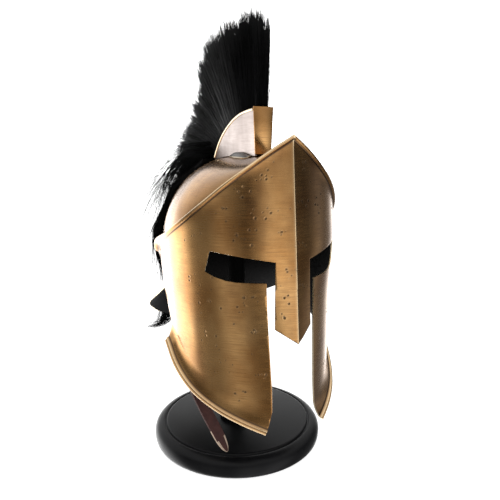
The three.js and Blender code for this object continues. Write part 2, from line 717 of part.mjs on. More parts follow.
function plumeTail() {
  const outer = [];
  const inner = [];
  const columns = 4 * TAIL_LOCKS;
  const reach = Math.PI - TAIL_FROM;
  for (let i = 0; i <= columns; i += 1) {
    const across = -1 + (2 * i) / columns;
    const angle = across <= 0 ? Math.PI + across * reach : -(Math.PI - across * reach);
    const a = Math.abs(angle);
    const phase = (i % 4) / 4;
    const groove = 0.5 - 0.5 * Math.cos(2 * Math.PI * phase);
    const tip = read(TAIL_FOOT_TABLE, 'angle', a, 'z') + 22 * (1 - groove);
    const edge = Math.sqrt(Math.max(0, 1 - across * across));
    const eq = equatorZ(angle);
    const outerColumn = [];
    const innerColumn = [];
    [0, 0.18, 0.5, 0.8].forEach((s) => {
      const z = tip + (eq - tip) * s;
      const thick = (1.2 + (9 + 4 * edge) * smooth(0, 0.6, s)) * (0.72 + 0.28 * groove);
      outerColumn.push(skullSide(angle, z, TAIL_CLEAR + thick));
      innerColumn.push(skullSide(angle, z, TAIL_CLEAR));
    });
    [0, 0.3, 0.55, 0.74, TAIL_TOP_RISE].forEach((rise) => {
      const thick = (10.2 + 5 * edge) * (0.78 + 0.22 * groove) - 7 * smooth(0.6, TAIL_TOP_RISE, rise);
      outerColumn.push(domePoint(angle, rise, TAIL_CLEAR + thick));
      innerColumn.push(domePoint(angle, rise, TAIL_CLEAR));
    });
    outer.push(outerColumn);
    inner.push(innerColumn);
  }
  return wallGeometry(outer, inner);
}

// ---------------------------------------------------------------- chin strap
function chinStrap() {
  const wide = new THREE.Vector3(0.933, 0.355, 0);
  const loops = STRAP_TABLE.map((row, i) => {
    const next = STRAP_TABLE[Math.min(i + 1, STRAP_TABLE.length - 1)];
    const last = STRAP_TABLE[Math.max(i - 1, 0)];
    const along = new THREE.Vector3(next.x - last.x, next.y - last.y, next.z - last.z).normalize();
    const turn = smooth(3, 1, i);
    const flat = wide.clone().lerp(new THREE.Vector3(0.05, 1, 0), turn).normalize();
    const across = flat.addScaledVector(along, -flat.dot(along)).normalize();
    const face = new THREE.Vector3().crossVectors(along, across).normalize();
    const c = new THREE.Vector3(row.x, row.y, row.z);
    const corner = (a, b) => c.clone()
      .addScaledVector(across, (a * row.width) / 2)
      .addScaledVector(face, (b * STRAP_THICKNESS) / 2);
    return [corner(-1, -1), corner(1, -1), corner(1, 1), corner(-1, 1)];
  });
  return loftGeometry(loops);
}

// ---------------------------------------------------------------- assembly
piece('stand_base', standBase(), black);
piece('stand_post', standPost(), black);
piece('skull_shell', skullShell(), bronze);
piece('face_plate', facePlate(), bronze);
piece('crest_holder', crestHolder(), bronze);
piece('crest_tab_right', crestTab(-1), darkMetal);
piece('crest_tab_left', crestTab(1), darkMetal);
piece('crest_plume', crestPlume(), hair);
piece('plume_tail', plumeTail(), hair);
piece('chin_strap', chinStrap(), leather);

export default helmet;
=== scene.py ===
# %% [markdown]
# # A Greek bronze helmet with a horsehair crest
#
# The helmet is beaten sheet bronze. It stands on a black turned disc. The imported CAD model
# fixes where everything is, so it is loaded first, and each finer piece is made round it.

# %% The frame
import math
import random

import bmesh
import bpy
import numpy as np
from mathutils import Matrix, Vector, kdtree, noise


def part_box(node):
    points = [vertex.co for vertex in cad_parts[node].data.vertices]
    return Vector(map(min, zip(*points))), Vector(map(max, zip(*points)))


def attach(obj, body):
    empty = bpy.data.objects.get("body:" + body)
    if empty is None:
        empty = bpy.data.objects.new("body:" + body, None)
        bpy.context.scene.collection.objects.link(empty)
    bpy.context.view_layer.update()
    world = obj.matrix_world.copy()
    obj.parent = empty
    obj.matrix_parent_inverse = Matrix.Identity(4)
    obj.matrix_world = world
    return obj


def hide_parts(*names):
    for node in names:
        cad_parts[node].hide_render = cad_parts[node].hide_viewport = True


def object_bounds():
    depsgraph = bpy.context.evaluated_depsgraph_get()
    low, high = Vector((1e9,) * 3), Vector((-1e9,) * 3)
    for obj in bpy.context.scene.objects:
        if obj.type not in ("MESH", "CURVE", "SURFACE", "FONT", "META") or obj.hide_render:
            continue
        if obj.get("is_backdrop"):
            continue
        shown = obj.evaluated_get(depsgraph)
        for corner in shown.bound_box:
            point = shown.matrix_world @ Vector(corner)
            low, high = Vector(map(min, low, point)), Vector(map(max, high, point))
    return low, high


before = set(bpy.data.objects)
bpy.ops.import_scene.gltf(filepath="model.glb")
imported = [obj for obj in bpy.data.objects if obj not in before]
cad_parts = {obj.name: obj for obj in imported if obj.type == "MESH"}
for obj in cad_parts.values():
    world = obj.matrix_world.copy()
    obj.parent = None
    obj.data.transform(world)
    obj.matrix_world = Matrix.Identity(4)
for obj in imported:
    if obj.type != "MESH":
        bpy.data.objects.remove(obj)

CAD_BOX = [list(corner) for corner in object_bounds()]
MM = 0.001
for name in sorted(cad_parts):
    low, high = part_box(name)
    spans = [f"{(b - a) / MM:6.1f}" for a, b in zip(low, high)]
    print(f"{name:16s}", " x ".join(spans), "mm")

# %% [markdown]
# ## The camera
#
# The helmet is looked at from a little above and from its right front, as on a display
# table. The lens is close, so the near cheek plate looks larger than the far one. The camera
# comes first, because every choice of detail depends on what it sees.

# %% The camera
CAMERA_PLACE = Vector((-0.25521, -0.53588, 0.34556))
CAMERA_PITCH = 11.1
CAMERA_TURN = 27.0
SENSOR = 36.0
LENS = 37.44

scene = bpy.context.scene
camera_data = bpy.data.cameras.new("camera")
camera_data.sensor_width = SENSOR
camera_data.lens = LENS
camera = bpy.data.objects.new("camera", camera_data)
camera.location = CAMERA_PLACE
camera.rotation_euler = (math.radians(90 - CAMERA_PITCH), 0, math.radians(-CAMERA_TURN))
scene.collection.objects.link(camera)
scene.camera = camera
scene.view_settings.view_transform = "Standard"
print("camera", [round(v, 3) for v in CAMERA_PLACE], "lens", LENS)

# %% [markdown]
# ## Reading a shape from a short table
#
# A smith works from a few templates and lets the metal run smoothly between them. The
# helper below does the same: a table gives a few heights or angles with their measures, and
# `read` returns a smooth value anywhere between, without overshooting.

# %% Reading tables
def read(table, value, column=1):
    last = len(table) - 1
    if value <= table[0][0]:
        return table[0][column]
    if value >= table[last][0]:
        return table[last][column]
    i = 0
    while table[i + 1][0] < value:
        i += 1

    def slope(a, b):
        return (table[b][column] - table[a][column]) / (table[b][0] - table[a][0])

    def between(a, b):
        return 0 if a * b <= 0 else 2 * a * b / (a + b)

    here = slope(i, i + 1)
    m0 = between(slope(i - 1, i), here) if i > 0 else here
    m1 = between(here, slope(i + 1, i + 2)) if i + 2 <= last else here
    h = table[i + 1][0] - table[i][0]
    s = (value - table[i][0]) / h
    a = table[i][column]
    b = table[i + 1][column]
    return (a * (2 * s**3 - 3 * s**2 + 1) + h * m0 * (s**3 - 2 * s**2 + s)
            + b * (3 * s**2 - 2 * s**3) + h * m1 * (s**3 - s**2))


def smooth(low, high, value):
    s = min(1, max(0, (value - low) / (high - low)))
    return s * s * (3 - 2 * s)


# %% [markdown]
# ## The horizontal section
#
# Seen from above, the helmet is a long oval. Its front is drawn forward into a keel, which
# makes the sharp ridge down the brow and nasal. The tables give the half width and the depth
# of that keel at each height in millimetres.

# %% The horizontal section
WALL = 1.6
PEAK_Z = 357.5
PEAK_Y = -121.5
RIDGE_LEAN = 0.084
WIDEST_Y = -33
BACK_LENGTH = 146
KEEL_REACH = 75
SECTION = [
    (50, 85, 17), (110, 85.5, 17), (150, 86.5, 16.5), (175, 87.5, 16), (195, 88.5, 15),
    (215, 90, 13), (235, 91.5, 11), (255, 92.5, 9.5), (280, 91.8, 10), (360, 90.5, 11),
]


def plan(angle, z):
    a = min(abs(angle), math.pi)
    x = read(SECTION, z, 1) * math.sin(a)
    y = WIDEST_Y - BACK_LENGTH * math.cos(a)
    if a < math.pi / 2:
        keel = read(SECTION, z, 2)
        front = PEAK_Y - RIDGE_LEAN * (PEAK_Z - z)
        pull = max(0, 1 - x / KEEL_REACH)
        y = WIDEST_Y - (WIDEST_Y - front - keel) * math.cos(a) - keel * pull * pull
    return (-x if angle < 0 else x), y


def push_out(angle, z, distance):
    """A point of the section moved outwards along the section's own normal."""
    x, y = plan(angle, z)
    if abs(angle) < 1e-6:
        return Vector((x, y - distance, z))
    if abs(abs(angle) - math.pi) < 1e-6:
        return Vector((x, y + distance, z))
    side = -1 if angle < 0 else 1
    a = abs(angle)
    px, py = plan(side * max(a - 0.01, 1e-5), z)
    qx, qy = plan(side * min(a + 0.01, math.pi), z)
    dx = side * (qx - px)
    dy = side * (qy - py)
    length = math.hypot(dx, dy)
    return Vector((x + dy / length * distance, y - dx / length * distance, z))


print("ridge at the peak", [round(v, 1) for v in plan(0, PEAK_Z)])

# %% [markdown]
# ## Adding nodes
#
# Every finish below is a small tree of nodes. One function adds any node, with its settings,
# the numbers of its sockets and the links into them. Colours are written as sRGB hex values,
# which is how a paint chart gives them, and one function turns them to the linear values
# that Blender works in.

# %% Adding nodes
def linear(code):
    parts = [int(code[i:i + 2], 16) / 255 for i in (1, 3, 5)]
    return tuple(c / 12.92 if c <= 0.04045 else ((c + 0.055) / 1.055) ** 2.4 for c in parts) + (1,)


def add(tree, kind, sockets=None, **settings):
    made = tree.nodes.new(kind)
    for name, value in settings.items():
        setattr(made, name, value)
    for name, value in (sockets or {}).items():
        if isinstance(value, bpy.types.NodeSocket):
            tree.links.new(value, made.inputs[name])
        else:
            made.inputs[name].default_value = value
    return made


def new_material(name):
    material = bpy.data.materials.new(name)
    material.use_nodes = True
    tree = material.node_tree
    tree.nodes.clear()
    return material, tree


def ramp(tree, value, stops):
    made = add(tree, "ShaderNodeValToRGB", {"Fac": value})
    elements = made.color_ramp.elements
    while len(elements) < len(stops):
        elements.new(0.5)
    for element, (place, colour) in zip(elements, stops):
        element.position = place
        element.color = colour
    return made.outputs["Color"]


def grey(value):
    return (value, value, value, 1)


def per_metre(size):
    """Scale of a pattern whose features are this many millimetres apart."""
    return 1000.0 / size


def object_place(tree):
    return add(tree, "ShaderNodeTexCoord").outputs["Object"]


def cloudy(tree, place, size, detail=2.0, roughness=0.5):
    """Soft noise whose features are this many millimetres apart."""
    return add(tree, "ShaderNodeTexNoise", {
        "Vector": place, "Scale": per_metre(size), "Detail": detail,
        "Roughness": roughness}).outputs["Fac"]


def span(tree, value, low, high, to_low=0.0, to_high=1.0):
    """The part of a value between low and high, stretched to new limits."""
    return add(tree, "ShaderNodeMapRange", {
        "Value": value, "From Min": low, "From Max": high, "To Min": to_low,
        "To Max": to_high}).outputs["Result"]


def mix(tree, share, first, second):
    return add(tree, "ShaderNodeMix", {
        "Factor": share, "A": first, "B": second}, data_type="RGBA").outputs["Result"]


def bumps(tree, height, strength, depth):
    return add(tree, "ShaderNodeBump", {
        "Height": height, "Strength": strength, "Distance": depth}).outputs["Normal"]


def surface(tree, sockets):
    shader = add(tree, "ShaderNodeBsdfPrincipled", sockets)
    add(tree, "ShaderNodeOutputMaterial", {"Surface": shader.outputs["BSDF"]})


# %% [markdown]
# ## Antiqued brushed bronze
#
# The sheet is brass-coloured bronze that was darkened with a liquid patina and then rubbed
# back. Rubbing leaves it bright on ridges and cut edges and brown in hollows and dents; on
# top of that, highlights along the ridge, hem, rim and dent lips are painted into the colour,
# and so is shade in the folds and dents. It was brushed round the helmet, so its reflections
# smear into soft upright bands, which are painted into the colour as brown streaks. Real brush
# marks are as fine as hairs; they are drawn 0.6 mm apart, so that they still read at arm's
# length.
#
# Three attributes of the mesh steer the colour: one near edges, for rubbed wear and painted
# highlights; one in folds, for patina and painted shade; and `dent` inside each dent, for
# patina and painted shade.

# %% Antiqued brushed bronze
BRUSH_SPACING = 0.6
TARNISH_SIZE = 45.0
# Width of the painted reflection bands, in millimetres.
REFLECTION_BAND_SIZE = 34.0
BRUSH_DEPTH = 0.00006
# Pale colour of rubbed metal, also used to paint the highlights on edges.
RUBBED_AND_HIGHLIGHT = "#F4DDB4"


def bronze_sheet(name, bright, mid, brown, dark, roughness):
    material, tree = new_material(name)
    place = object_place(tree)
    streak = add(tree, "ShaderNodeMapping", {"Vector": place, "Scale": (0.06, 0.06, 1.0)})
    brushing = cloudy(tree, streak.outputs["Vector"], BRUSH_SPACING * 2, 3.0, 0.6)
    tarnish = cloudy(tree, place, TARNISH_SIZE, 4.0, 0.55)
    upright = add(tree, "ShaderNodeMapping", {"Vector": place, "Scale": (1.0, 1.0, 0.35)})
    painted_reflection_bands = cloudy(tree, upright.outputs["Vector"], REFLECTION_BAND_SIZE, 3.0)
    # Masks: rubbed wear with painted highlights, patina with painted shade in folds, and patina with
    # painted shade in dents.
    wear_and_highlight, patina_and_shade, dent = [
        add(tree, "ShaderNodeAttribute", attribute_name=label).outputs["Fac"]
        for label in ("wear_and_highlight", "patina_and_shade", "dent")]

    colour = mix(tree, span(tree, tarnish, 0.36, 0.66), linear(mid), linear(bright))
    colour = mix(tree, span(tree, brushing, 0.42, 0.68, 0.0, 0.14), colour, linear(brown))
    # Upright brown streaks: painted reflection bands of the brushing.
    colour = mix(tree, span(tree, painted_reflection_bands, 0.45, 0.72, 0.0, 0.6), colour, linear(brown))
    # Painted shade in folds and dents over the patina, then painted highlights over the wear.
    colour = mix(tree, patina_and_shade, colour, linear(dark))
    colour = mix(tree, dent, colour, linear(dark))
    colour = mix(tree, wear_and_highlight, colour, linear(RUBBED_AND_HIGHLIGHT))
    surface(tree, {
        "Base Color": colour, "Metallic": 1.0, "Coat Weight": 0.6, "Coat Roughness": 0.2,
        "Roughness": span(tree, brushing, 0.3, 0.7, roughness - 0.07, roughness + 0.07),
        "Normal": bumps(tree, brushing, 0.15, BRUSH_DEPTH)})
    return material


bronze = bronze_sheet("brushed_bronze", "#D3A264", "#B07C40", "#6E4420", "#2E1B0D", 0.24)
silvered = bronze_sheet("pale_brushed_bronze", "#B9ABA4", "#9B8C85", "#6A5C54", "#352C27", 0.36)
print("bronze nodes", len(bronze.node_tree.nodes))

# %% [markdown]
# ## Bright cut edges and the black inside
#
# Where the sheet was cut and filed, the bare metal shows as a thin bright line, and its pale
# colour also paints in the highlight along that line. The inside was sprayed matt black, so
# that nothing shines through the eye slots.

# %% Cut edges and the black inside
FILE_MARK_SPACING = 1.5
PAINT_GRAIN = 1.2
PAINT_DEPTH = 0.00008


def plain_metal(name, colour, roughness):
    material, tree = new_material(name)
    file_marks = cloudy(tree, object_place(tree), FILE_MARK_SPACING)
    surface(tree, {
        "Base Color": linear(colour), "Metallic": 1.0,
        "Roughness": span(tree, file_marks, 0.0, 1.0, roughness - 0.1, roughness + 0.1)})
    return material


def paint(name, colour, light, roughness):
    material, tree = new_material(name)
    speckle = cloudy(tree, object_place(tree), PAINT_GRAIN, 3.0)
    surface(tree, {
        "Base Color": mix(tree, speckle, linear(colour), linear(light)),
        "Roughness": roughness, "IOR": 1.5, "Specular IOR Level": 0.12,
        "Normal": bumps(tree, speckle, 0.4, PAINT_DEPTH)})
    return material


# Pale filed metal whose colour also paints the highlight on cut edges and on the crest wire.
filed_edge_and_highlight = plain_metal("filed_bronze_edge_and_highlight", "#F0DDBC", 0.3)
black_inside = paint("matt_black_paint", "#060505", "#0B0908", 0.75)

# %% [markdown]
# ## Turning a bmesh into a finished piece
#
# Each piece is modelled in millimetres and brought to metres when it is done. Its object
# stays at the origin, so its place is in its mesh. Edges that turn by more than 38 degrees
# stay sharp, or 50 on turned wood, and the others are shaded smooth. It rides on the one
# body of this helmet.

# %% Finishing a piece
def finish_piece(name, bm, materials, replaces=(), sharp=38):
    bmesh.ops.scale(bm, vec=(MM, MM, MM), verts=bm.verts)
    mesh = bpy.data.meshes.new(name)
    bm.to_mesh(mesh)
    bm.free()
    for material in materials:
        mesh.materials.append(material)
    mesh.shade_smooth()
    mesh.set_sharp_from_angle(angle=math.radians(sharp))
    made = bpy.data.objects.new(name, mesh)
    scene.collection.objects.link(made)
    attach(made, "root")
    if replaces:
        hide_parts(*replaces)
    mesh.calc_loop_triangles()
    print(f"{name}: {len(mesh.loop_triangles)} triangles")


# %% [markdown]
# ## The face plate, marked out flat
#
# Brow, nasal and both cheek plates are one sheet. A smith marks it out flat, cuts the eye
# slots, and bends it last. The same order is used here, because a flat cut is exact: a grid
# is made whose columns run round the helmet and whose rows run up it, the opening is cut out
# of it, and then each vertex is put where the bent sheet has it.
#
# The tables give the upper edge, the lower edge and the rear edge of the plate.

# %% Edges of the face plate
BROW_END = 1.99
CHEEK_END = 1.64
BROW = [
    (0.0, 357.5), (0.22, 344.5), (0.45, 329.5), (0.67, 315), (0.97, 294.5), (1.26, 277),
    (1.57, 262), (1.80, 251.5), (1.92, 244.5), (1.99, 235),
]
CHEEK = [
    (0.0, 59), (0.30, 70.5), (0.60, 80.5), (0.90, 91), (1.15, 102), (1.35, 115), (1.55, 132),
    (1.64, 142),
]
REAR = [
    (60, 1.64), (142, 1.64), (165, 1.70), (180, 1.78), (195, 1.87), (215, 1.93), (235, 1.99),
    (360, 1.99),
]
OPENING = [
    (0, 161), (20.3, 175.5), (19, 240.5), (45, 245), (71, 250), (74, 229.5), (67.5, 225),
    (59, 222), (51, 220.8), (26.8, 220.5), (25.5, 170), (24, 115), (24.4, 93), (28, 78),
    (30.5, 71), (31, 50),
]
HEM_PROFILE = [(0, 0.9), (0.9, 1.9), (2.1, 1.2), (3.3, 2.0), (4.3, 0.25), (5.2, 0), (9, 0)]
RIM_PROFILE = [(0, 1.1), (1.0, 2.3), (2.6, 2.2), (3.6, 1.6), (4.6, 0.2), (5.6, 0), (9, 0)]
FLANGE_FRONT = 5.5
FLANGE_SIDE = 9
FLANGE_HEIGHT = 22
RIM_HEIGHT = 14
RIM_FLARE = 1.2
RIM_FLARE_BACK = 4.2

# %% [markdown]
# ## Rows and columns of the flat sheet
#
# The rows crowd together at the folded hem and at the rim, where the section changes within
# a millimetre, and they are even between. A row keeps a fixed distance from the lower edge
# or from the upper edge, so both folds keep their size where the plate gets narrower.

# %% Rows and columns of the flat sheet
COLUMN_STEPS = 70
MIDDLE_ROWS = 84
columns = [-i / COLUMN_STEPS for i in range(COLUMN_STEPS, 0, -1)] + [-0.004, 0, 0.004]
columns += [i / COLUMN_STEPS for i in range(1, COLUMN_STEPS + 1)]
rows = [(up, 0.0) for up in (0, 0.4, 0.9, 1.5, 2.1, 2.7, 3.3, 3.8, 4.3, 5.2, 7, 9, 11.5, 14, 18)]
rows += [(FLANGE_HEIGHT, k / MIDDLE_ROWS) for k in range(MIDDLE_ROWS + 1)]
rows += [(FLANGE_HEIGHT + RIM_HEIGHT - down, 1.0)
         for down in (11, 8.5, 6.5, 5.6, 5.1, 4.6, 4.1, 3.6, 2.6, 1.8, 1.0, 0.4, 0)]


def along(values, place):
    """A list read between its entries."""
    place = min(len(values) - 1, max(0, place))
    i = min(int(place), len(values) - 2)
    s = place - i
    a = values[i]
    b = values[i + 1]
    if isinstance(a, tuple):
        return tuple(p + (q - p) * s for p, q in zip(a, b))
    return a + (b - a) * s


def plate_height(u, up, share):
    foot = read(CHEEK, u * CHEEK_END)
    top = read(BROW, u * BROW_END)
    return foot, top, foot + up + share * (top - foot - FLANGE_HEIGHT - RIM_HEIGHT)


def plate_point(column, row, depth):
    """Where a point of the flat sheet ends up; depth is 1 outside and 0 inside."""
    u = along(columns, column)
    up, share = along(rows, row)
    foot, top, z = plate_height(abs(u), up, share)
    angle = u * read(REAR, z)
    turn = FLANGE_FRONT + (FLANGE_SIDE - FLANGE_FRONT) * smooth(0.55, 0.95, abs(u))
    stand = 0
    if z - foot < FLANGE_HEIGHT:
        stand += turn * (1 - (z - foot) / FLANGE_HEIGHT) ** 2
    if top - z < RIM_HEIGHT:
        lip = RIM_FLARE + (RIM_FLARE_BACK - RIM_FLARE) * smooth(0.8, 1, abs(u))
        stand += lip * (1 - (top - z) / RIM_HEIGHT) ** 2
    if depth > 0.5:
        stand += read(HEM_PROFILE, z - foot) + read(RIM_PROFILE, top - z)
    else:
        stand -= WALL
    return push_out(angle, z, stand)


print("sheet of", len(columns), "by", len(rows), "lines")

# %% [markdown]
# The outline of the opening is known as seen from the front, in millimetres. It is carried
# over to the flat sheet by asking which column and row pass through each of its points.

# %% The opening, carried over to the flat sheet
def flat_place(x, z):
    angle = math.asin(min(0.999, abs(x) / read(SECTION, z, 1)))
    u = angle / read(REAR, z)
    low, high = 0.0, len(rows) - 1.0
    for _ in range(40):
        middle = (low + high) / 2
        if plate_height(u, *along(rows, middle))[2] < z:
            low = middle
        else:
            high = middle
    u = math.copysign(u, x)
    column = 0.0
    for i in range(len(columns) - 1):
        if columns[i] <= u <= columns[i + 1]:
            column = i + (u - columns[i]) / (columns[i + 1] - columns[i])
    return column, (low if low > 0.01 else -2.0)


OUTLINE_STEP = 8
half = []
for (x0, z0), (x1, z1) in zip(OPENING, OPENING[1:]):
    steps = max(1, round(math.hypot(x1 - x0, z1 - z0) / OUTLINE_STEP))
    half += [(x0 + (x1 - x0) * k / steps, z0 + (z1 - z0) * k / steps) for k in range(steps)]
half.append(OPENING[-1])
outline = half + [(-x, z) for x, z in reversed(half[1:])]

# %% [markdown]
# ## Cutting the opening
#
# A smith saws the slots out with the sheet still flat. Here a stamp with the outline of the
# opening is pushed through the flat grid, and an exact Boolean takes away what it covers.

# %% Cutting the opening
def from_object(bm, obj):
    """Reads an object with its modifiers applied, and removes it."""
    shape = obj.evaluated_get(bpy.context.evaluated_depsgraph_get())
    mesh = bpy.data.meshes.new_from_object(shape)
    bm.from_mesh(mesh)
    bpy.data.meshes.remove(mesh)
    bpy.data.objects.remove(obj)


def loose_object(name, bm):
    mesh = bpy.data.meshes.new(name)
    bm.to_mesh(mesh)
    bm.free()
    made = bpy.data.objects.new(name, mesh)
    scene.collection.objects.link(made)
    return made


def subtract(body, cutter, name):
    block = loose_object(name, body)
    tool = loose_object(name + "_tool", cutter)
    cut = block.modifiers.new("cut", "BOOLEAN")
    cut.operation = "DIFFERENCE"
    cut.solver = "EXACT"
    cut.object = tool
    bpy.context.view_layer.update()
    bm = bmesh.new()
    from_object(bm, block)
    bpy.data.objects.remove(tool)
    return bm


def new_verts(made):
    return [g for g in made["geom"] if isinstance(g, bmesh.types.BMVert)]


def raise_faces(bm, faces, height):
    raised = bmesh.ops.extrude_face_region(bm, geom=faces)
    bmesh.ops.translate(bm, vec=(0, 0, height), verts=new_verts(raised))
    bmesh.ops.recalc_face_normals(bm, faces=bm.faces)


def two_sided_grid(wide, tall):
    """Unit cells in two layers: the inside at depth 0 and the outside at depth 1."""
    bm = bmesh.new()
    bmesh.ops.create_grid(bm, x_segments=wide, y_segments=tall, size=0.5)
    stretch = Matrix.Diagonal((wide, tall, 1, 1)) @ Matrix.Translation((0.5, 0.5, 0))
    bmesh.ops.transform(bm, verts=bm.verts, matrix=stretch)
    raise_faces(bm, bm.faces[:], 1)
    return bm


wide = len(columns) - 1
tall = len(rows) - 1
sheet = two_sided_grid(wide, tall)
stamp = bmesh.new()
corners = [stamp.verts.new((*flat_place(x, z), -1)) for x, z in outline]
raise_faces(stamp, [stamp.faces.new(corners)], 3)
sheet = subtract(sheet, stamp, "flat_sheet")
print("flat sheet after the cut:", len(sheet.faces), "faces")

# %% [markdown]
# ## Dents
#
# An old helmet is pitted where it was struck and where the patina bit. The dents come in
# loose groups, with a few strays between them, and each one is a shallow bowl 1 to 3 mm
# across with a slight raised lip. The grid's cells are about 2.9 mm wide, too coarse for
# that, so they are subdivided only where a dent lands. The table gives each group: its
# middle, its spread and how many dents it has, in millimetres as seen from the front.

# %% Marking the dents
DENT_SEED = 7
DENT_GROUPS = [
    (-27, 318, 12, 9), (-44, 305, 8, 5), (-30, 285, 10, 7), (-62, 288, 9, 6), (-46, 262, 9, 6),
    (-12, 268, 6, 4), (-8, 232, 6, 4), (-11, 205, 5, 3), (-15, 188, 5, 4), (12, 330, 7, 4),
    (14, 290, 8, 5), (9, 255, 5, 4), (10, 215, 5, 4), (40, 296, 12, 7), (62, 280, 10, 5),
    (-40, 203, 9, 5), (-55, 190, 7, 4), (-78, 196, 7, 3), (-36, 172, 7, 6), (-68, 160, 9, 4),
    (-34, 128, 6, 6), (-58, 138, 8, 3), (-48, 112, 9, 4), (-76, 222, 7, 4), (-82, 262, 7, 3),
    (38, 200, 9, 6), (60, 178, 9, 5), (36, 150, 7, 5), (52, 118, 9, 5), (80, 240, 8, 4),
]
STRAY_DENTS = 70
HEM_ROWS = 14
RIM_ROWS = 12
SIDE_COLUMNS = 3
CELL = 2.9

rng = random.Random(DENT_SEED)
dents = []
for x, z, spread, count in DENT_GROUPS:
    for _ in range(count):
        dents.append((x + rng.gauss(0, spread * 0.55), z + rng.gauss(0, spread * 0.55),
                      rng.uniform(0.65, 1.45), rng.uniform(0.18, 0.42)))
for _ in range(STRAY_DENTS):
    x = rng.uniform(-86, 86)
    dents.append((x, rng.uniform(90, 335), rng.uniform(0.45, 0.9), rng.uniform(0.08, 0.2)))

flat_dents = []
for x, z, radius, depth in dents:
    column, row = flat_place(x, z)
    if HEM_ROWS < row < tall - RIM_ROWS and SIDE_COLUMNS < column < wide - SIDE_COLUMNS:
        flat_dents.append((column, row, radius, depth))
for level in range(2):
    near = set()
    reach = [(c, r, (radius * 1.5 + 1.5 / (level + 1)) / CELL) for c, r, radius, depth in flat_dents]
    for face in sheet.faces:
        middle = face.calc_center_median()
        if middle.z < 0.9:
            continue
        for c, r, size in reach:
            if abs(middle.x - c) < size and abs(middle.y - r) < size:
                near.add(face)
                break
    edges = {edge for face in near for edge in face.edges}
    bmesh.ops.subdivide_edges(sheet, edges=list(edges), cuts=1, use_grid_fill=True)
print(len(flat_dents), "dents,", len(sheet.faces), "faces")

# %% [markdown]
# ## Bending the sheet
#
# Every vertex now moves from the flat sheet to its place on the helmet, and the dents are
# pressed in afterwards, because a dent is round on the bent metal and not on the flat grid.

# %% Bending the sheet
def near_line(value, line, width):
    """1 on a line, falling off to 0 over a few widths."""
    return math.exp(-((value - line) / width) ** 2)


wear_and_highlight = sheet.verts.layers.float.new("wear_and_highlight")
patina_and_shade = sheet.verts.layers.float.new("patina_and_shade")
dent_patina_shade = sheet.verts.layers.float.new("dent")
dent_places = [(plate_point(c, r, 1), radius, depth) for c, r, radius, depth in flat_dents]
outside = []
for vertex in sheet.verts:
    column, row, depth = vertex.co
    u = along(columns, column)
    up, share = along(rows, row)
    foot, top, z = plate_height(abs(u), up, share)
    vertex.co = plate_point(column, row, depth)
    if depth > 0.5:
        outside.append(vertex)
        up = z - foot
        down = top - z
        # Painted shade in the grooves of the hem and under the rim, over the patina there.
        fold_patina_shade = near_line(up, 5.0, 0.9) + 0.5 * near_line(up, 2.1, 0.5) + near_line(down, 5.0, 0.9)
        vertex[patina_and_shade] = min(1, fold_patina_shade)
        # Painted highlights on the ridge line, the two beads of the hem and the top of the rim, over
        # their rubbed wear.
        ridge = near_line(abs(vertex.co.x), 0, 0.55)
        lips = near_line(up, 0.8, 0.5) + near_line(up, 3.4, 0.5) + near_line(down, 0.9, 0.8)
        vertex[wear_and_highlight] = min(1, 0.75 * ridge + 0.7 * lips)
sheet.normal_update()

tree = kdtree.KDTree(len(outside))
for i, vertex in enumerate(outside):
    tree.insert(vertex.co, i)
tree.balance()
moves = {}
for place, radius, depth in dent_places:
    for co, i, distance in tree.find_range(place, radius * 2.2):
        t = distance / radius
        wobble = 1 + 0.35 * noise.noise(co * 0.9)
        bowl = -depth * wobble * max(0, 1 - t * t) ** 1.5
        lip = 0.16 * depth * near_line(t, 1.2, 0.3)
        moves[i] = moves.get(i, 0) + bowl + lip
        # Painted shade inside the dent, over the patina there, and a painted highlight on its lip.
        outside[i][dent_patina_shade] = min(1, max(outside[i][dent_patina_shade], 0.85 * max(0, 1 - t * t)))
        outside[i][wear_and_highlight] = min(1, outside[i][wear_and_highlight] + 0.12 * near_line(t, 1.15, 0.25))
for i, move in moves.items():
    outside[i].co += outside[i].normal * move
sheet.normal_update()

# %% [markdown]
# ## Sorting the faces of a sheet
#
# A sheet has an outside that is polished, an inside that is painted and a narrow cut edge
# that is filed bright, with its highlight painted into its colour. Filing also takes off the
# sharp corner, so that line is bevelled.

# %% Materials and cut edges of the plate
OUTER, EDGE, INNER = 0, 1, 2


def sort_faces(bm, outer_verts):
    """Outer faces, inner faces and the narrow faces of the sheet's own edge."""
    for face in bm.faces:
        count = sum(v in outer_verts for v in face.verts)
        face.material_index = EDGE
        if count == len(face.verts):
            face.material_index = OUTER
        elif count == 0:
            face.material_index = INNER


def soften_edge(bm, offset=0.35):
    """A small bevel where the outer face meets the sheet's own edge."""
    lips = [e for e in bm.edges if {f.material_index for f in e.link_faces} == {OUTER, EDGE}]
    bmesh.ops.bevel(bm, geom=lips, offset=offset, segments=2, profile=0.5, affect="EDGES",
                    material=EDGE, clamp_overlap=True)


sort_faces(sheet, set(outside))
soften_edge(sheet)
finish_piece("face_plate_sheet", sheet, [bronze, filed_edge_and_highlight, black_inside],
             replaces=["face_plate"])

# %% [markdown]
# ## The skull and its nape guard
#
# The skull is raised from one sheet: a dome above, a drawn-in waist behind, and a nape guard
# that flares out below it. It tucks inside the face plate in front. It is made like the
# plate, as a flat two-sided grid that is rolled up, with the seam closed at the back.

# %% Shape of the skull
SKULL_TOP = 336
SKULL_INSET = WALL + 1.3
SKULL_LAP = 15
SKULL_BACK_Z = 238
NAPE_FRONT = 1.82
NAPE_START = 208
WAIST = 7
NAPE = [
    (1.82, 198, 0), (1.90, 193, 1.5), (2.00, 181, 10), (2.16, 165, 22), (2.42, 147, 29),
    (2.72, 126, 32), (3.00, 113, 33), (math.pi, 110, 33),
]


def equator(angle):
    a = abs(angle)
    front = read(BROW, min(a, BROW_END)) - 6
    return front + (SKULL_BACK_Z - front) * smooth(1.9, 2.3, a)


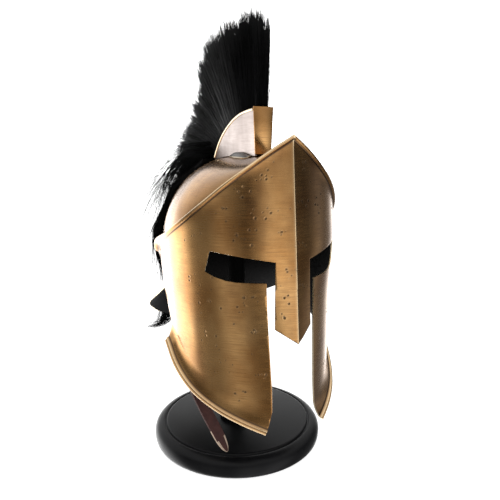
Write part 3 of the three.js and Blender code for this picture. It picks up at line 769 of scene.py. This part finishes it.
def skull_foot(angle):
    a = abs(angle)
    hidden = read(BROW, min(a, BROW_END)) - SKULL_LAP
    return hidden + (read(NAPE, a) - hidden) * smooth(1.66, NAPE_FRONT, a)


def skull_side(angle, z, extra=0):
    a = abs(angle)
    stand = -SKULL_INSET
    if z < NAPE_START and a > NAPE_FRONT:
        drop = min(1.2, max(0, (NAPE_START - z) / (NAPE_START - skull_foot(angle))))
        stand += read(NAPE, a, 2) * drop * drop
    waist = max(0, 1 - ((z - 206) / 46) ** 2)
    stand -= WAIST * smooth(2.1, 2.9, a) * waist * waist
    return push_out(angle, z, stand + extra)


def dome_point(angle, rise, extra=0):
    z = equator(angle)
    p = skull_side(angle, z, extra)
    c = math.cos(rise)
    return Vector((p.x * c, p.y * c, z + (SKULL_TOP + extra - z) * math.sin(rise)))


def dome_height(x, y):
    """Height of the dome over a point of the plan."""
    bearing = math.atan2(abs(x), -y)
    low, high = 0, math.pi
    for _ in range(30):
        middle = (low + high) / 2
        p = dome_point(middle, 0)
        if math.atan2(p.x, -p.y) < bearing:
            low = middle
        else:
            high = middle
    edge = dome_point((low + high) / 2, 0)
    c = min(1, math.hypot(x, y) / math.hypot(edge.x, edge.y))
    return edge.z + (SKULL_TOP - edge.z) * math.sqrt(1 - c * c)


# %% [markdown]
# ## Rolling up the skull
#
# The lower rows follow the side from the guard up to the widest line, and the upper rows
# close over it as a dome. The guard's lower edge is rolled, so it gets a small bead.

# %% Rolling up the skull
SKULL_COLUMNS = 150
SIDE_ROWS = 34
DOME_ROWS = 34
skull = two_sided_grid(SKULL_COLUMNS, SIDE_ROWS + DOME_ROWS)
ends = [f for f in skull.faces if abs(f.normal.x) > 0.9 or f.normal.y > 0.9]
bmesh.ops.delete(skull, geom=ends, context="FACES_ONLY")
wear_and_highlight = skull.verts.layers.float.new("wear_and_highlight")
patina_and_shade = skull.verts.layers.float.new("patina_and_shade")
dent_patina_shade = skull.verts.layers.float.new("dent")
outer_side = set()
for vertex in skull.verts:
    column, row, depth = vertex.co
    angle = -math.pi + 2 * math.pi * column / SKULL_COLUMNS
    extra = 0 if depth > 0.5 else -WALL
    if row <= SIDE_ROWS:
        foot = skull_foot(angle)
        s = row / SIDE_ROWS
        z = foot + (equator(angle) - foot) * (0.35 * s + 0.65 * s * s)
        if depth > 0.5:
            behind = smooth(NAPE_FRONT, 2.1, abs(angle))
            bead = behind * (1.0 - smooth(1.5, 3.5, z - foot))
            extra += bead
            # The bead gets a painted highlight over its wear, and the groove above it painted shade
            # over the patina.
            vertex[wear_and_highlight] = 0.6 * bead
            vertex[patina_and_shade] = 0.7 * near_line(z - foot, 4, 1.5) * behind
        vertex.co = skull_side(angle, z, extra)
    else:
        rise = (row - SIDE_ROWS) / DOME_ROWS * math.pi / 2
        vertex.co = dome_point(angle, rise, extra)
    if depth > 0.5:
        outer_side.add(vertex)
        # Painted shade on the dome where it goes in under the face plate's rim.
        if abs(angle) < BROW_END and row > SIDE_ROWS:
            gap = read(BROW, abs(angle)) - vertex.co.z
            vertex[patina_and_shade] = max(vertex[patina_and_shade], 0.5 * near_line(gap, 0, 14))
sort_faces(skull, outer_side)
soften_edge(skull)
bmesh.ops.remove_doubles(skull, verts=skull.verts, dist=0.01)
finish_piece("skull_and_nape_guard", skull, [bronze, filed_edge_and_highlight, black_inside],
             replaces=["skull_shell"])

# %% [markdown]
# ## The crest channel
#
# The hair is clamped in a folded channel that stands on the crown: a bronze front plate, two
# paler side plates shaped like a quarter of a disc, and a wire rolled into their upper edge.
# The flat plates are outlines given a thickness, and the wire is a round bar swept along the
# edge. A few vertices and one extrude make each plate, so no grid is needed.

# %% Plates of the crest channel
HOLDER_FRONT_Y = -65
HOLDER_FRONT_Z = 386.5
HALF_TOP = 11
HALF_FOOT = 8.8
SHEET = 1.5
SEAT = 0.7
WIRE = 1.3
CREASE = 1.2
HOLDER_EDGE = [
    (-63.5, 383.5), (-56, 383), (-38, 381), (-20, 376.5), (-3, 369.5), (12, 361), (24, 351.5),
    (35, 340), (41, 332),
]


def is_crease(edge):
    """True at a corner, where two faces turn by more than CREASE radians."""
    return len(edge.link_faces) == 2 and edge.calc_face_angle(0) > CREASE


def half_gap(z):
    s = min(1.1, max(-0.1, (z - 334) / (HOLDER_FRONT_Z - 334)))
    return HALF_FOOT + (HALF_TOP - HALF_FOOT) * s


foot_line = []
for k in range(17):
    y = HOLDER_FRONT_Y + 1.2 + (40 - HOLDER_FRONT_Y) * k / 16
    foot_line.append((y, dome_height(9, y) + SEAT + 0.2))
edge_line = [(y, read(HOLDER_EDGE, y)) for y in (39 - 102 * k / 24 for k in range(25))]


def side_plate(side):
    bm = bmesh.new()
    outline = foot_line + edge_line
    face = bm.faces.new([bm.verts.new((0, y, z)) for y, z in outline])
    shifted = set(new_verts(bmesh.ops.extrude_face_region(bm, geom=[face])))
    for vertex in bm.verts:
        inset = 0 if vertex in shifted else SHEET
        vertex.co.x = side * (half_gap(vertex.co.z) - inset)
    bmesh.ops.recalc_face_normals(bm, faces=bm.faces)
    rim = [e for e in bm.edges if is_crease(e)]
    bmesh.ops.bevel(bm, geom=rim, offset=0.25, segments=1, profile=0.5, affect="EDGES",
                    material=-1)
    return bm


def front_plate():
    bm = bmesh.new()
    bmesh.ops.create_cube(bm, size=1)
    foot_z = dome_height(0, HOLDER_FRONT_Y) + SEAT + 0.4
    for vertex in bm.verts:
        z = HOLDER_FRONT_Z - 0.4 if vertex.co.z > 0 else foot_z
        y = HOLDER_FRONT_Y + 0.75 + vertex.co.y * SHEET
        vertex.co = Vector((2 * vertex.co.x * (half_gap(z) + 0.35), y, z))
    bmesh.ops.bevel(bm, geom=bm.edges[:], offset=0.4, segments=2, profile=0.5, affect="EDGES",
                    material=-1)
    return bm


def swept_wire(name, points, radius, sides=10):
    """A round bar along a line of points, as a mesh in millimetres."""
    curve = bpy.data.curves.new(name, "CURVE")
    curve.dimensions = "3D"
    curve.bevel_depth = radius
    curve.bevel_resolution = sides // 4
    curve.use_fill_caps = True
    spline = curve.splines.new("POLY")
    spline.points.add(len(points) - 1)
    for entry, point in zip(spline.points, points):
        entry.co = (*point, 1)
    made = bpy.data.objects.new(name, curve)
    scene.collection.objects.link(made)
    bpy.context.view_layer.update()
    bm = bmesh.new()
    from_object(bm, made)
    bpy.data.curves.remove(curve)
    return bm


def attribute_layers(bm):
    for label in ("wear_and_highlight", "patina_and_shade", "dent"):
        bm.verts.layers.float.new(label)


def gather(parts):
    """Joins several bmeshes; each one keeps the material index it is given with."""
    joined = bmesh.new()
    for bm, index in parts:
        for face in bm.faces:
            face.material_index = index
        mesh = bpy.data.meshes.new("part")
        bm.to_mesh(mesh)
        bm.free()
        joined.from_mesh(mesh)
        bpy.data.meshes.remove(mesh)
    return joined


channel_parts = [(front_plate(), 0)]
for side in (-1, 1):
    channel_parts.append((side_plate(side), 1))
    wire_line = [(side * (half_gap(z) - 0.1), y, z - 0.2) for y, z in edge_line]
    channel_parts.append((swept_wire("edge_wire", wire_line, WIRE), 2))
channel = gather(channel_parts)
attribute_layers(channel)
# The wire takes the pale filed-edge metal, which paints its highlight.
finish_piece("crest_channel", channel, [bronze, silvered, filed_edge_and_highlight],
             replaces=["crest_holder"])

# %% [markdown]
# ## Folded tabs
#
# A narrow ribbon of dark sheet is folded over at the foot of each side plate, where the
# channel is riveted down. It is a short strip that follows the dome and bulges up along its
# middle. The table gives, from front to back, its reach sideways and its height.

# %% Folded tabs
dark_ribbon = bronze_sheet("blackened_sheet", "#4A4038", "#2A2420", "#1A1614", "#0C0A09", 0.35)
TAB_START = 8
TAB_LENGTH = 49
TAB_ROWS = [
    (8, 1.5, 1.2), (18, 3.6, 4.4), (30, 5.2, 5.4), (42, 6.6, 4.2), (52, 6.4, 1.8), (57, 3.5, 1.0),
]


def folded_tab(side):
    bm = bmesh.new()
    bmesh.ops.create_grid(bm, x_segments=8, y_segments=30, size=0.5)
    for vertex in bm.verts:
        across = vertex.co.x + 0.5
        y = -TAB_START - TAB_LENGTH * (vertex.co.y + 0.5)
        reach = read(TAB_ROWS, -y, 1)
        rise = read(TAB_ROWS, -y, 2)
        base = HALF_FOOT + WIRE * 0.5 + 0.9
        x = base + reach * across
        bulge = rise * math.sin(math.pi * min(1, 0.35 + 0.65 * across)) ** 0.8
        vertex.co = Vector((side * x, y, dome_height(x, y) + 0.6 + bulge))
    bmesh.ops.recalc_face_normals(bm, faces=bm.faces)
    if sum(f.normal.z for f in bm.faces) < 0:
        bmesh.ops.reverse_faces(bm, faces=bm.faces)
    bmesh.ops.solidify(bm, geom=bm.faces[:], thickness=0.8)
    return bm


tabs = gather([(folded_tab(-1), 0), (folded_tab(1), 0)])
attribute_layers(tabs)
layer = tabs.verts.layers.float.get("wear_and_highlight")
# Painted highlight on the creased edges of each tab, over their wear.
for vertex in tabs.verts:
    if any(is_crease(e) for e in vertex.link_edges):
        vertex[layer] = 0.7
finish_piece("folded_tabs", tabs, [dark_ribbon],
             replaces=["crest_tab_right", "crest_tab_left"])

# %% [markdown]
# ## Black horsehair
#
# Horsehair is a smooth glossy fibre. Dyed black it shows only as dark strands with cool grey
# highlights along them. A real hair is 0.2 mm thick, which is too fine to show, so each
# strand here is a small lock about 0.8 mm across at its root.
#
# A strand is a three-sided tapering rod with a few stations along it. One is extruded, then
# the whole set is duplicated until there are enough, and each copy is laid along its own
# path. The attribute `shade` gives every strand its own tone.

# %% Horsehair material
hair_black, hair_tree = new_material("black_dyed_horsehair")
tone = add(hair_tree, "ShaderNodeAttribute", attribute_name="shade").outputs["Fac"]
surface(hair_tree, {
    "Base Color": mix(hair_tree, tone, linear("#010101"), linear("#0E0E10")),
    "Roughness": 0.5, "IOR": 1.55, "Specular IOR Level": 0.1})

# %% One strand and its copies
STATIONS = 5
TAPER = [0.8, 1.0, 0.9, 0.62, 0.0]


def one_strand():
    bm = bmesh.new()
    bmesh.ops.create_circle(bm, segments=3, radius=1, cap_ends=True)
    bmesh.ops.reverse_faces(bm, faces=bm.faces)
    ring = bm.edges[:]
    for _ in range(STATIONS - 1):
        pulled = bmesh.ops.extrude_edge_only(bm, edges=ring)
        fresh = new_verts(pulled)
        ring = [g for g in pulled["geom"] if isinstance(g, bmesh.types.BMEdge)
                and all(v in fresh for v in g.verts)]
        bmesh.ops.translate(bm, vec=(0, 0, 1), verts=fresh)
    bmesh.ops.pointmerge(bm, verts=fresh, merge_co=(0, 0, STATIONS - 1))
    bmesh.ops.recalc_face_normals(bm, faces=bm.faces)
    return gather([(bm, 0)])


def comb(name, paths, thickness, material, replaces=()):
    """Lays one strand along each path; a path has a point in millimetres for each station."""
    bm = one_strand()
    pattern = np.array([v.co[:] for v in bm.verts])
    while True:
        copies = len(bm.verts) // len(pattern)
        if copies >= len(paths):
            break
        wanted = min(copies, len(paths) - copies)
        bm.verts.ensure_lookup_table()
        verts = bm.verts[:wanted * len(pattern)]
        edges = {e for v in verts for e in v.link_edges}
        faces = {f for v in verts for f in v.link_faces}
        bmesh.ops.duplicate(bm, geom=verts + list(edges) + list(faces))
    mesh = bpy.data.meshes.new(name)
    bm.to_mesh(mesh)
    bm.free()
    count = len(paths)
    laid = np.zeros(count * len(pattern) * 3)
    mesh.vertices.foreach_get("co", laid)
    laid = laid.reshape(count, len(pattern), 3)
    assert np.abs(laid - pattern).max() < 1e-5
    points = np.array([[p[:] for p in path] for path in paths])
    heading = np.gradient(points, axis=1)
    heading /= np.linalg.norm(heading, axis=2, keepdims=True)
    across = np.cross(heading, (0.31, 0.17, 0.93))
    across /= np.linalg.norm(across, axis=2, keepdims=True)
    third = np.cross(heading, across)
    station = np.rint(pattern[:, 2]).astype(int)
    taper = np.array(TAPER)[station]
    size = np.array(thickness)[:, None] * taper[None, :]
    laid = (points[:, station] + across[:, station] * (pattern[:, 0] * size)[..., None]
            + third[:, station] * (pattern[:, 1] * size)[..., None])
    mesh.vertices.foreach_set("co", (laid * MM).astype(np.float32).ravel())
    tones = np.random.default_rng(len(paths)).random(count) ** 3
    shade = mesh.attributes.new("shade", "FLOAT", "POINT")
    shade.data.foreach_set("value", np.repeat(tones, len(pattern)).astype(np.float32))
    mesh.materials.append(material)
    mesh.shade_smooth()
    mesh.update()
    made = bpy.data.objects.new(name, mesh)
    scene.collection.objects.link(made)
    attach(made, "root")
    if replaces:
        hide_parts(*replaces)
    mesh.calc_loop_triangles()
    print(f"{name}: {count} strands, {len(mesh.loop_triangles)} triangles")


# %% [markdown]
# ## The standing crest
#
# The brush stands straight up in front and fans backwards, and the hair gets shorter and
# lies flatter towards the back. It leaves the channel as a wall 14 mm thick and spreads at
# the tips. The table gives, from front to back, the root, the lean in degrees, the length
# and the half thickness at the tips. Hair gathers into locks, so strands share a lock's tip.

# %% Shape of the crest
CREST = [
    (0, -60, 372, -1, 104, 10), (1, -52, 372, -1, 108, 11), (2, -44, 371, 2, 118, 12),
    (3, -35, 369, 8, 112, 12), (4, -26, 366, 16, 124, 13), (5, -17, 362, 25, 132, 13),
    (6, -8, 358, 33, 148, 14), (7, 0, 354, 39, 138, 15), (8, 7, 350, 46, 116, 17),
    (9, 14, 347, 54, 108, 19), (10, 21, 344, 62, 102, 22), (11, 28, 342, 70, 102, 25),
    (12, 33, 340, 78, 102, 28), (13, 38, 341, 86, 98, 30), (14, 42, 341, 94, 88, 30),
]


def crest_point(place, side, share, reach):
    """A point of the hair: place runs front to back, side across, share from root to tip."""
    y = read(CREST, place, 1)
    z = read(CREST, place, 2)
    lean = math.radians(read(CREST, place, 3))
    length = read(CREST, place, 4) * reach
    spread = read(CREST, place, 5)
    width = 7.0 + (spread - 7.0) * share ** 1.4
    droop = 6.0 * math.sin(max(0, lean)) * share ** 3
    return Vector((side * width,
                   y + math.sin(lean) * length * share,
                   z + math.cos(lean) * length * share - droop))


CREST_LOCKS = 1300
CREST_STRANDS = 8600
STRAYS = 45
HAIR_SEED = 31
rng = random.Random(HAIR_SEED)
locks = []
for _ in range(CREST_LOCKS):
    place = 14 * rng.random() ** 0.8
    side = rng.uniform(-1, 1)
    ripple = 0.05 * noise.noise(Vector((place * 1.7, side * 0.8, 3)))
    locks.append((place, side, rng.uniform(0.9, 1.03) + ripple))


def crest_strand():
    place, side, reach = rng.choice(locks)
    own_place = min(14, max(0, place + rng.gauss(0, 0.22)))
    own_side = min(1, max(-1, side + rng.gauss(0, 0.12)))
    own_reach = reach * (rng.uniform(0.8, 1.0) if rng.random() < 0.85 else rng.uniform(1, 1.06))
    bend = Vector((rng.gauss(0, 1.0), rng.gauss(0, 1.6), rng.gauss(0, 1.2)))
    path = []
    for k in range(STATIONS):
        share = k / (STATIONS - 1)
        mix = 0.55 * share ** 1.5
        point = crest_point(own_place + (place - own_place) * mix,
                            own_side + (side - own_side) * mix, share, own_reach)
        point += bend * share * share
        path.append(point)
    return path


for half_name in ("crest_hair_inner", "crest_hair_outer"):
    paths = [crest_strand() for _ in range(CREST_STRANDS)]
    sizes = [rng.uniform(0.3, 0.5) for _ in paths]
    for _ in range(STRAYS):
        lean = math.radians(rng.uniform(-9, -2))
        length = rng.uniform(50, 104)
        side = rng.uniform(-8, 8)
        curl = rng.uniform(-6, 5)
        paths.append([Vector((side + curl * k * k / 16, -60 + math.sin(lean) * length * k / 4
                              + curl * 0.6 * math.sin(k), 376 + length * k / 4))
                      for k in range(STATIONS)])
        sizes.append(0.12)
    comb(half_name, paths, sizes, hair_black,
         replaces=["crest_plume"] if half_name == "crest_hair_outer" else ())

# %% [markdown]
# ## Hair down the back of the skull
#
# Behind the channel longer hair falls over the dome. It lies close against the metal, and
# towards its ends single strands lift away from it. Each strand runs down the dome first,
# up to DOME_TRAVEL, and then down the side.

# %% Hair over the dome
TAIL_STRANDS = 7000
TAIL_TRAVEL = 1.55
DOME_TRAVEL = 0.9
SIDE_TRAVEL = 0.65
DOME_RISE = 1.15
TAIL_FOOT = [(2.08, 205), (2.3, 186), (2.6, 166), (2.9, 152), (math.pi, 146)]
paths = []
sizes = []
for _ in range(TAIL_STRANDS):
    final = math.pi - abs(rng.gauss(0, 0.48))
    final = max(2.1, final) * rng.choice((-1, 1))
    start = math.pi - abs(rng.gauss(0, 0.3))
    start *= 1 if final > 0 else -1
    lift = rng.uniform(0.8, 9.0)
    loose = rng.random() < 0.12
    flyaway = rng.uniform(4, 14) if loose else 0
    ends = rng.uniform(-8, 45) if not loose else rng.uniform(-20, 60)
    path = []
    for k in range(STATIONS):
        share = k / (STATIONS - 1)
        angle = start + (final - start) * smooth(0, 0.42, share)
        angle = (angle + rng.gauss(0, 0.01) + math.pi) % (2 * math.pi) - math.pi
        off = 2.0 + lift * math.sin(math.pi * min(1, 0.15 + share * 0.8)) + flyaway * share ** 2
        travel = share * TAIL_TRAVEL
        if travel < DOME_TRAVEL:
            rise = DOME_RISE * (1 - travel / DOME_TRAVEL)
            path.append(dome_point(angle, rise, off))
        else:
            eq = equator(angle)
            tip = read(TAIL_FOOT, abs(angle)) + ends
            z = eq + (tip - eq) * (travel - DOME_TRAVEL) / SIDE_TRAVEL
            path.append(skull_side(angle, z, off))
    paths.append(path)
    sizes.append(rng.uniform(0.28, 0.45))
comb("skull_hair", paths, sizes, hair_black, replaces=["plume_tail"])

# %% [markdown]
# ## Loose hair behind the dome
#
# The rear of the crest isn't clamped tightly, so a looser fall of hair stands off the dome
# and closes the angle between the brush and the skull. The table gives its middle line.

# %% Loose hair behind the dome
WISP = [
    (0, 44, 345), (1, 76, 342), (2, 103, 316), (3, 121, 277), (4, 126, 230),
]
WISPS = 2400
paths = []
sizes = []
for _ in range(WISPS):
    side = rng.gauss(0, 1)
    out = rng.uniform(-12, 4) if rng.random() < 0.8 else rng.uniform(2, 22)
    reach = rng.uniform(0.6, 1.15)
    sway = Vector((rng.gauss(0, 4), 0, 0))
    path = []
    for k in range(STATIONS):
        share = k * reach
        y = read(WISP, min(share, 4), 1) + out * min(1, 0.2 + 0.25 * k)
        z = read(WISP, min(share, 4), 2) - max(0, share - 4) * 40 + out * 0.4
        curl = 3.5 * noise.noise(Vector((side, k * 0.7, out * 0.1)))
        path.append(Vector((side * (5 + 7 * k), min(150, y + curl), z)) + sway * (k / 4))
    paths.append(path)
    sizes.append(rng.uniform(0.2, 0.36))
comb("loose_hair", paths, sizes, hair_black)

# %% [markdown]
# ## Hair that shows below the nape guard
#
# One thin lock of the long hair hangs past the guard on the right and curls outwards. The
# table gives its line. Every strand starts in a small cloud round it and draws in to the tip.

# %% Hair that shows below the nape guard
NAPE_HAIRS = 260
NAPE_CURL = [
    (0, -30, 138, 150), (1, -36, 141, 128), (2, -44, 143, 108), (3, -56, 146, 100),
    (4, -72, 148, 100),
]
paths = []
sizes = []
for _ in range(NAPE_HAIRS):
    jitter = Vector((rng.gauss(0, 7), rng.uniform(-3, 3), rng.gauss(0, 3)))
    reach = rng.uniform(0.45, 1.0)
    path = []
    for k in range(STATIONS):
        at = k * reach
        path.append(Vector([read(NAPE_CURL, at, c) for c in (1, 2, 3)]) + jitter * (1 - 0.12 * k)
                    + Vector((0, 0, 5 * noise.noise(jitter + Vector((k * 0.5, 0, 0))))))
    paths.append(path)
    sizes.append(rng.uniform(0.16, 0.3))
comb("nape_curl", paths, sizes, hair_black)

# %% [markdown]
# ## The chin strap
#
# A single strip of dark red-brown leather hangs from inside the right cheek plate. Its cut
# edge was never dyed, so it is paler than its face.

# %% Strap leather
STRAP = [
    (0, -83.0, -31, 160, 15), (1, -82.4, -34, 145, 15), (2, -80.6, -39, 122, 15),
    (3, -73.5, -49, 97, 14), (4, -64.0, -59, 70, 14), (5, -53.5, -66.5, 44, 13.5),
    (6, -47.2, -70.0, 28.5, 8), (7, -45.4, -70.6, 23.6, 2.5),
]
leather, leather_tree = new_material("red_brown_strap_leather")
place = object_place(leather_tree)
pores = add(leather_tree, "ShaderNodeTexVoronoi", {"Vector": place, "Scale": per_metre(1.1)})
mottle = cloudy(leather_tree, place, 9, 3.0)
surface(leather_tree, {
    "Base Color": mix(leather_tree, mottle, linear("#2A1210"), linear("#57302A")),
    "Roughness": 0.55, "IOR": 1.48,
    "Normal": bumps(leather_tree, pores.outputs["Distance"], 0.5, 0.00012)})
raw_edge, edge_tree = new_material("undyed_leather_edge")
fibre = cloudy(edge_tree, object_place(edge_tree), 0.8)
surface(edge_tree, {
    "Base Color": mix(edge_tree, fibre, linear("#A08672"), linear("#D8C4B0")), "Roughness": 0.8})

# %% [markdown]
# The strip turns as it hangs: at the top its face looks sideways, as it does where it is
# held against the plate, and lower down it looks forwards. Its tip rests on the disc. The
# faces along its thickness are found by their size and take the undyed edge.

# %% The strap
STRAP_STEPS = 60
STRAP_THICKNESS = 1.9
STRAP_REST_Z = 23.2
strap = bmesh.new()
bmesh.ops.create_grid(strap, x_segments=6, y_segments=STRAP_STEPS, size=0.5)
bmesh.ops.translate(strap, vec=(0, 0.5, 0), verts=strap.verts)


def strap_point(place):
    return Vector([read(STRAP, place, k) for k in (1, 2, 3)])


for vertex in strap.verts:
    place = vertex.co.y * 7
    heading = (strap_point(min(7, place + 0.05)) - strap_point(max(0, place - 0.05))).normalized()
    turn = 1 - smooth(1, 3, place)
    flat = Vector((0.933, 0.355, 0)).lerp(Vector((0.05, 1, 0)), turn).normalized()
    across = (flat - heading * flat.dot(heading)).normalized()
    width = read(STRAP, place, 4)
    vertex.co = strap_point(place) + across * vertex.co.x * width
for vertex in strap.verts:
    vertex.co.z = max(vertex.co.z, STRAP_REST_Z)
bmesh.ops.recalc_face_normals(strap, faces=strap.faces)
bmesh.ops.solidify(strap, geom=strap.faces[:], thickness=STRAP_THICKNESS)
for face in strap.faces:
    at_corner = any(is_crease(e) for e in face.edges)
    shortest = min(e.calc_length() for e in face.edges)
    thin = face.calc_area() < 6.5 and shortest < 2.1
    face.material_index = int(at_corner and thin)
finish_piece("leather_strap", strap, [leather, raw_edge], replaces=["chin_strap"])

# %% [markdown]
# ## The turned stand
#
# The disc was turned on a lathe from wood, with a ring groove round its top and a rounded
# shoulder, and lacquered satin black. A lathe is a spin: its half section goes once round.

# %% Black satin lacquer
lacquer, lacquer_tree = new_material("satin_black_lacquer")
place = object_place(lacquer_tree)
orange_peel = cloudy(lacquer_tree, place, 2.5)
wear = cloudy(lacquer_tree, place, 30, 3.0)
surface(lacquer_tree, {
    "Base Color": mix(lacquer_tree, wear, linear("#0A0A0B"), linear("#161618")),
    "Roughness": span(lacquer_tree, wear, 0.0, 1.0, 0.28, 0.42), "IOR": 1.5,
    "Specular IOR Level": 0.14, "Normal": bumps(lacquer_tree, orange_peel, 0.15, 0.00006)})

# %% Turning
LATHE_STEPS = 180


def turned(profile):
    bm = bmesh.new()
    chain = [bm.verts.new((r, 0, z)) for r, z in profile]
    line = [bm.edges.new(pair) for pair in zip(chain, chain[1:])]
    bmesh.ops.spin(bm, geom=chain + line, cent=(0, 0, 0), axis=(0, 0, 1), angle=2 * math.pi,
                   steps=LATHE_STEPS, use_merge=True)
    bmesh.ops.remove_doubles(bm, verts=bm.verts, dist=0.001)
    bmesh.ops.recalc_face_normals(bm, faces=bm.faces)
    return bm


DISC = [
    (0, 0), (95.5, 0), (97.4, 0.5), (98.7, 1.8), (99.5, 4.2), (99.9, 7), (100, 9.5), (99.8, 12),
    (99.1, 14.6), (97.8, 16.8), (95.9, 18.6), (93.4, 19.9), (90.8, 20.7), (88.9, 20.9),
    (88.3, 20.6), (88.0, 20.0), (87.8, 19.9), (86.4, 19.9), (86.1, 20.3), (85.8, 21.3),
    (85.2, 21.8), (84.2, 22.0), (0, 22.0),
]
finish_piece("turned_disc", turned(DISC), [lacquer],
             replaces=["stand_base"], sharp=50)

# %% [markdown]
# The post is turned the same way. It has a foot collar, a plain shaft and a ball head that
# carries the skull. It stands in the dark inside the helmet, so it is painted matt black.

# %% The post
POST_TOP = 333.3
BALL = 27
BALL_STEPS = 18
BALL_START = 1.18
ball_z = POST_TOP - BALL
post_profile = [
    (0, 22.3), (20.6, 22.3), (21, 22.7), (21, 25.9), (20.4, 26.5), (12, 28.2), (10, 31),
]
for k in range(BALL_STEPS + 1):
    a = -BALL_START + k / BALL_STEPS * (math.pi / 2 + BALL_START)
    post_profile.append((max(0, BALL * math.cos(a)), ball_z + BALL * math.sin(a)))
finish_piece("turned_post", turned(post_profile), [black_inside],
             replaces=["stand_post"], sharp=50)

# %% [markdown]
# ## Floor and light
#
# The object stands on a white paper sweep inside a soft light tent. Polished metal shows
# what is round it, so the bright walls and the greyer gaps of the tent draw the upright
# bands on the plate.

# %% The sweep
white, white_tree = new_material("white_paper_sweep")
tooth = cloudy(white_tree, object_place(white_tree), 3.0)
surface(white_tree, {
    "Base Color": grey(0.86), "Roughness": 0.9, "Emission Color": grey(1.0),
    "Emission Strength": 0.75, "Normal": bumps(white_tree, tooth, 0.1, 0.0001)})
FLOOR_SIZE = 6
floor_bm = bmesh.new()
bmesh.ops.create_grid(floor_bm, x_segments=1, y_segments=1, size=FLOOR_SIZE)
floor = loose_object("floor", floor_bm)
floor.data.materials.append(white)
floor.visible_glossy = False
floor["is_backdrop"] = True

# %% [markdown]
# Seen from above, an upright plate reflects the floor in front of it. White paper there
# would wash the metal out, so glossy rays pass through the floor to the tent behind it.
#
# The studio is a white tent with gaps. The table goes once round the object, from its right
# side through the front to its left side and the back. It gives how bright the tent is in
# each direction, from 0 to 1: white behind, softer panels to the front and to the left, and
# dark gaps between. A camera ray sees plain white, so the backdrop is clean.

# %% The tent
TENT_STRENGTH = 3.2
ROOF_LEVEL = 0.34
TENT = [
    (0.00, 0.075), (0.04, 0.07), (0.085, 0.20), (0.115, 0.14), (0.15, 0.035), (0.175, 0.09),
    (0.20, 0.46), (0.245, 0.40), (0.27, 0.16), (0.31, 0.50), (0.35, 0.50), (0.39, 0.05),
    (0.46, 0.02), (0.495, 0.13), (0.525, 0.03), (0.565, 0.08), (0.60, 0.60), (0.66, 1.0),
    (0.88, 1.0), (0.925, 0.60), (0.955, 0.12), (1.00, 0.075),
]
world = bpy.data.worlds.new("studio")
scene.world = world
world.use_nodes = True
sky = world.node_tree
sky.nodes.clear()
heading = add(sky, "ShaderNodeTexCoord").outputs["Generated"]
round_about = add(sky, "ShaderNodeTexGradient", {"Vector": heading}, gradient_type="RADIAL")
bands = ramp(sky, round_about.outputs["Fac"], [(at, grey(level)) for at, level in TENT])
height = add(sky, "ShaderNodeSeparateXYZ", {"Vector": heading}).outputs["Z"]
walls = mix(sky, span(sky, height, -0.1, 0.15, 1.0, 0.4), grey(0.0), bands)
tent = mix(sky, span(sky, height, 0.25, 0.65), walls, grey(ROOF_LEVEL))
seen = add(sky, "ShaderNodeLightPath").outputs["Is Camera Ray"]
backdrop = mix(sky, seen, tent, grey(1.0))
glow = add(sky, "ShaderNodeBackground", {"Color": backdrop, "Strength": TENT_STRENGTH})
add(sky, "ShaderNodeOutputWorld", {"Surface": glow.outputs["Background"]})

# %% [markdown]
# ## Sizes
#
# The finished model is measured against the CAD model, and both boxes are written down in
# metres.

# %% Sizes
low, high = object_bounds()
for axis, lo, hi, clo, chi in zip("xyz", low, high, CAD_BOX[0], CAD_BOX[1]):
    print(axis, f"visual {lo:.4f} to {hi:.4f}, CAD {clo:.4f} to {chi:.4f}")
